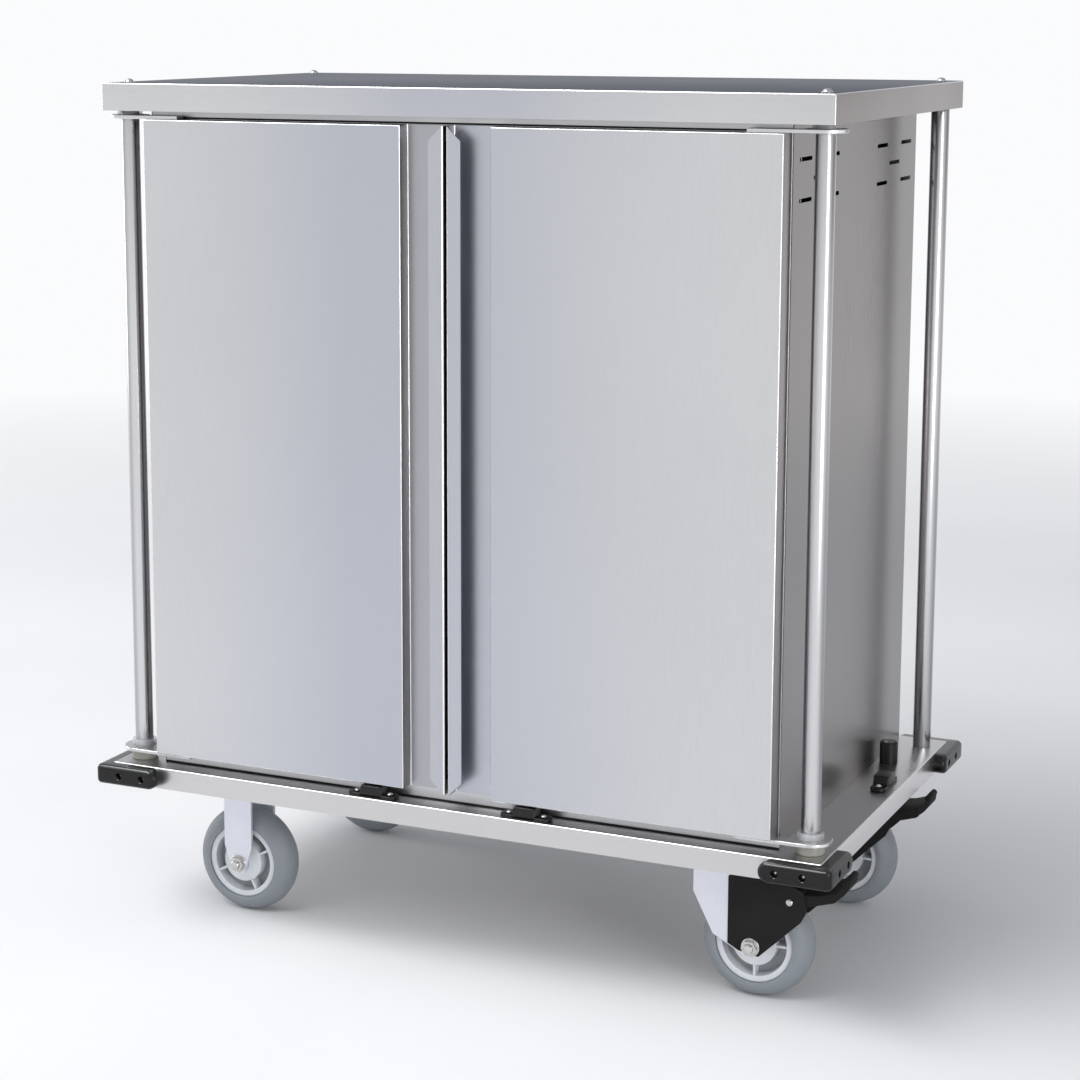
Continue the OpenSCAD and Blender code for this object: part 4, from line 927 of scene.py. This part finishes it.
def axleInto(bm, x, reach, outward):
    # Outward is -1 for a wheel at the front and 1 at the back: its nut faces that way
    facing = Matrix.Rotation(radians(-90 * outward), 4, "X")
    away = Matrix.Rotation(radians(90 * outward), 4, "X")
    here = Vector((x, outward * caster["y"], caster["z"]))
    w = axle["washerHeight"]
    outer = Matrix.Translation(here + Vector((0, outward * (reach + w), 0))) @ facing
    hexHead(bm, outer, axle["acrossFlats"], axle["height"] - w, axle["radius"], axle["end"])
    inner = Matrix.Translation(here - Vector((0, outward * reach, 0))) @ away
    hexHead(bm, inner, axle["acrossFlats"], axle["height"], 0, 0)
    r = axle["radius"]
    r1 = axle["washer"]
    c = axle["washerRound"]
    washer = [(r, reach), (r1, reach), (r1, reach + w - c), (r1 - c, reach + w), (r, reach + w)]
    lathe(bm, washer, here, axis="Y" if outward > 0 else "-Y", segments=64, closed=True)
    lathe(bm, [(0.0, -reach), (r, -reach), (r, reach), (0.0, reach)], here, axis="Y", segments=48)
    tube(bm, r + axle["sleeveGap"], axle["sleeve"], axle["sleeveHalf"], here, 48)


bm = bmesh.new()
for outward in (-1, 1):
    axleInto(bm, caster["left"], axle["rigidReach"], outward)
piece("rigidAxles", bm, "cart", ["rigid_caster_axles"], "fastener", 28)

pivot = {"x": 461.0, "z": 145.0, "radius": 3.0, "domeRadius": 4.8, "domeHeight": 2.5, "rim": 0.3,
         "reach": 37.0}
for word, outward in ends:
    bm = bmesh.new()
    axleInto(bm, caster["right"], pivot["reach"], outward)
    r = pivot["domeRadius"]
    top = pivot["reach"]
    rim = top + pivot["rim"]
    profile = [(0.0, 0.0), (pivot["radius"], 0.0), (pivot["radius"], top), (r, top), (r, rim)]
    profile += dome(r, rim, pivot["domeHeight"] - pivot["rim"], (20, 40, 60, 75))
    profile += [(0.0, top + pivot["domeHeight"])]
    for axis in ("Y", "-Y"):
        lathe(bm, profile, (pivot["x"], outward * caster["y"], pivot["z"]), axis=axis, segments=40)
    piece(word + "YokePins", bm, word + "_swivel", [word + "_yoke_pins"], "fastener", 28)
for word, outward in ends:
    fromNode(word + "_yoke", word + "Yoke", "fork", 1.6, 3)
    fromNode(word + "_brake_plates", word + "BrakePlates", "blackMetal", 0.5)

# Brake pedals: two side arms, a bent tread that narrows to a rolled tip, the boss on the pivot and the cam.
# The arm's outline and the tread's rows are measured from the pivot. A row is the upper x and z, the lower
# x and z, and the half width.
pedal = {"half": 34.5, "arm": 3.0, "eye": 9.0, "boss": 5.5, "bore": 3.05, "bossGap": 0.3, "edge": 0.6,
         "treadRound": 0.7, "cam": 6.0, "camHalf": 10.0, "camThrow": 3.24, "camAngle": 252.9, "camRound": 0.5,
         "tip": 4.5, "tipX": 71.0, "tipZ": 32.0, "tipHalf": 19.0, "tipRound": 1.2,
         "armEnd": [(33.0, -1.0), (59.0, 7.0), (62.5, 9.5), (64.6, 13.5), (64.4, 17.5), (62.0, 21.0),
                    (57.0, 19.5), (40.0, 14.0)],
         "tread": ((15.0, 11.2, 15.4, 8.2, 34.3), (40.0, 14.3, 40.6, 11.4, 34.3),
                   (57.0, 19.8, 58.5, 12.6, 34.3), (61.5, 22.2, 65.0, 12.2, 32.0),
                   (65.0, 25.0, 69.5, 16.0, 27.0), (67.5, 27.6, 72.0, 19.5, 22.5),
                   (69.2, 29.6, 73.6, 23.5, 19.5), (71.0, 32.0, 74.6, 28.5, 18.0))}


def pedalInto(bm, x, y, z):
    here = Vector((x, y, z))
    outline = arc((0, 0), pedal["eye"], 110, 278, 14) + pedal["armEnd"]
    for low in (-pedal["half"], pedal["half"] - pedal["arm"]):
        upright = Matrix(((1, 0, 0, x), (0, 0, 1, y + low), (0, 1, 0, z), (0, 0, 0, 1)))
        mergeInto(bm, outlinePlate("pedalArm", [outline], pedal["arm"], pedal["edge"], upright))
    tread = bmesh.new()
    rings = []
    for x1, z1, x2, z2, half in pedal["tread"]:
        rings.append([(x1, -half, z1), (x1, half, z1), (x2, half, z2), (x2, -half, z2)])
    skinRings(tread, rings, Matrix.Translation(here))
    bmesh.ops.recalc_face_normals(tread, faces=tread.faces)
    bevelEdges(tread, [e for e in tread.edges if e.calc_face_angle(0.0) > 0.8], pedal["treadRound"], 3)
    mergeInto(bm, tread)
    h = pedal["tipHalf"]
    tip = here + Vector((pedal["tipX"], 0, pedal["tipZ"]))
    lathe(bm, roundedProfile(pedal["tip"], -h, h, pedal["tipRound"]), tip, axis="Y", segments=40)
    tube(bm, pedal["bore"], pedal["boss"], pedal["half"] - pedal["bossGap"], here, 40)
    a = radians(pedal["camAngle"])
    cam = here + Vector((cos(a), 0, sin(a))) * pedal["camThrow"]
    r = pedal["cam"]
    c = pedal["camRound"]
    h = pedal["camHalf"]
    profile = [(0.0, -h), (r - c, -h), (r, c - h), (r, h - c), (r - c, h), (0.0, h)]
    lathe(bm, profile, cam, axis="Y", segments=40)


for word, outward in ends:
    bm = bmesh.new()
    pedalInto(bm, pivot["x"], outward * caster["y"], pivot["z"])
    piece(word + "BrakePedal", bm, word + "_pedal", [word + "_brake_pedal"], "blackMetal")

# Wheels: a tyre, a web painted darker as shade in the recess, and a paler core of hub, rim and four ribs.
# Turned says how far, in degrees.
wheel = {"radius": 76.2, "tread": 26.0, "width": 50.0, "lip": 0.2, "core": 53.0, "rim": 8.5, "hubDisc": 30.0,
         "boss": 16.0, "hubLength": 56.0, "coreWidth": 44.0, "web": 10.0, "bore": 9.75, "round": 0.8,
         "rib": 3.5, "ribInset": 1.5, "ribSink": 1.0, "turned": {"front_left": 26.0}}


def bothSides(profile):
    return profile + [(radius, -height) for radius, height in reversed(profile)]


r = wheel["core"]
half = wheel["width"] / 2
limit = degrees(asin(half / wheel["tread"]))
tread = [(r, wheel["lip"] - half)]
for along, out in arc((0, wheel["radius"] - wheel["tread"]), wheel["tread"], 90 + limit, 90 - limit, 24):
    tread.append((max(out, r), along))
tread.append((r, half - wheel["lip"]))
c = wheel["coreWidth"] / 2
w = wheel["web"] / 2
ri = r - wheel["rim"]
hd = wheel["hubDisc"]
hb = wheel["boss"]
hl = wheel["hubLength"] / 2
e = wheel["round"]
hub = [(wheel["bore"], hl), (hb - e, hl), (hb, hl - e), (hb, c + 0.2), (hb + 0.6, c), (hd - e, c),
       (hd, c - e)]
rim = [(ri, c - e), (ri + e, c), (r - 1.2, c), (r, c - 1.0)]
web = [(hd - 0.6, w + 2.5), (hd + 0.8, w + 1.5), (hd + 2.0, w), (ri - 2.0, w), (ri - 0.8, w + 1.5),
       (ri + 0.6, w + 2.5)]
deep = c - wheel["ribInset"]
low = (hd - wheel["ribSink"], -deep, -wheel["rib"] / 2)
high = (ri + wheel["ribSink"], deep, wheel["rib"] / 2)


def wheelTurned(profiles, here):
    bm = bmesh.new()
    for profile in profiles:
        lathe(bm, profile, here, axis="Y", segments=144, closed=True)
    return bm


wheels = [(first, second, outward) for second in ("left", "right") for first, outward in ends]
for first, second, outward in wheels:
    word = first + "_" + second
    label = first.title() + second.title()
    body = "wheel_" + word
    here = (caster[second], outward * caster["y"], caster["z"])
    piece("tyre" + label, wheelTurned([tread], here), body, ["tyre_" + word], "tyre", 50)
    piece("webPaintedShade" + label, wheelTurned([bothSides(web)], here), body, ["wheel_core_" + word], "webPaintedShade", 35)
    core = wheelTurned([bothSides(hub), bothSides(rim)], here)
    for i in range(4):
        rib = roundedBoxes([(low, high)], wheel["round"], 2)
        spin = Matrix.Rotation(radians(-(wheel["turned"].get(word, 0.0) + 90.0 * i)), 4, "Y")
        moveBy(rib, Matrix.Translation(here) @ spin)
        mergeInto(core, rib)
    piece("core" + label, core, body, ["wheel_core_" + word], "core", 35)
print("stage: casters")


# Floor and backdrop. Far out, the floor fades into the backdrop's own brightness.
studio = {"size": 60.0, "fade": (2.5, 5.2), "horizon": (0.96, 0.965, 0.975), "zenith": (0.42, 0.44, 0.48),
          "dark": (0.36, 0.33, 0.31)}
bm = bmesh.new()
bmesh.ops.create_grid(bm, x_segments=8, y_segments=8, size=studio["size"])
floorMesh = toMesh(bm, "studioFloor")
floorObject = addObject("studioFloor", floorMesh)
material, tree, shader = newMaterial("paleFloor")
cloud = noise(tree, coordinates(tree), 1.5, 3.0, 0.5)
tone = blendColours(tree, remap(tree, cloud, 0.3, 0.7), (0.80, 0.80, 0.805), (0.83, 0.83, 0.83))
fill(tree, shader, {"Base Color": tone, "Roughness": remap(tree, cloud, 0.3, 0.7, 0.75, 0.85),
                    "Specular IOR Level": 0.2})
glow = addNode(tree, "Emission", {"Color": studio["horizon"], "Strength": 1.0})
distance = addNode(tree, "VectorMath", {0: coordinates(tree, (1, 1, 0))}, operation="LENGTH")
fade = addNode(tree, "MixShader", {"Fac": remap(tree, distance.outputs["Value"], *studio["fade"]),
                                   1: shader.outputs["BSDF"], 2: glow.outputs["Emission"]})
ground = [n for n in tree.nodes if n.bl_idname == "ShaderNodeOutputMaterial"][0]
link(tree, fade.outputs["Shader"], ground.inputs["Surface"])
floorMesh.materials.append(material)

# The backdrop darkens upwards, and behind the cart's back right corner, whose reflection the end wall shows
world = bpy.data.worlds.new("studio")
scene.world = world
world.use_nodes = True
tree = world.node_tree
tree.nodes.clear()
where = addNode(tree, "TexCoord", {}).outputs["Generated"]
eastward, northward, upward = addNode(tree, "SeparateXYZ", {"Vector": where}).outputs
sky = blendColours(tree, remap(tree, upward, 0.03, 0.55), studio["horizon"], studio["zenith"])
shadow = remap(tree, weighted(tree, eastward, 0.8, northward, 0.6), 0.70, 0.99)
lift = remap(tree, upward, 0.02, 0.16)
sky = blendColours(tree, maths(tree, "MULTIPLY", shadow, lift), sky, studio["dark"])
background = addNode(tree, "Background", {"Color": sky, "Strength": 1.0})
addNode(tree, "OutputWorld", {"Surface": background.outputs["Background"]})


def addLight(name, shape, direction, power):
    data = bpy.data.lights.new(name, shape)
    data.energy = power
    obj = addObject(name, data)
    obj.rotation_euler = Vector(direction).to_track_quat("-Z", "Y").to_euler()
    return obj


addLight("softSun", "SUN", (0.42, 0.50, -0.76), 0.7).data.angle = radians(50)
# Each soft light's place, target, width and height, power and colour
softLights = {
    "leftLight": ((-5.0, 0.2, 1.5), (0, 0, 0.5), (1.4, 2.6), 60, (0.98, 0.99, 1.0)),
    "rightLight": ((4.4, -3.0, 1.5), (0, 0, 0.5), (1.4, 2.6), 50, (1.0, 0.99, 0.98)),
    "lowLight": ((3.0, -2.4, 0.28), (0.2, -0.2, 0.12), (1.0, 0.4), 12, (1, 1, 1)),
    "topLight": ((-1.9, -1.9, 4.4), (0, -0.2, 0.4), (4.2, 1.5), 125, (1, 1, 1)),
}
for name, (location, target, size, power, colour) in softLights.items():
    light = addLight(name, "AREA", Vector(target) - Vector(location), power)
    light.location = location
    light.visible_camera = False
    light.data.shape = "RECTANGLE"
    light.data.size, light.data.size_y = size
    light.data.color = colour

view = {"place": (1.436, -3.245, 1.289), "heading": 25.04, "tilt": -9.74, "lens": 84.76, "sensor": 36.0,
        "shift": (0.05, -0.09), "near": 0.1, "far": 300.0}
cameraData = bpy.data.cameras.new("camera")
cameraData.lens = view["lens"]
cameraData.sensor_width = view["sensor"]
cameraData.shift_x, cameraData.shift_y = view["shift"]
cameraData.clip_start = view["near"]
cameraData.clip_end = view["far"]
camera = addObject("camera", cameraData)
camera.location = view["place"]
camera.rotation_euler = (radians(90 + view["tilt"]), 0, radians(view["heading"]))
scene.camera = camera
scene.view_settings.view_transform = "Standard"
scene.view_settings.look = "None"
print("stage: studio")
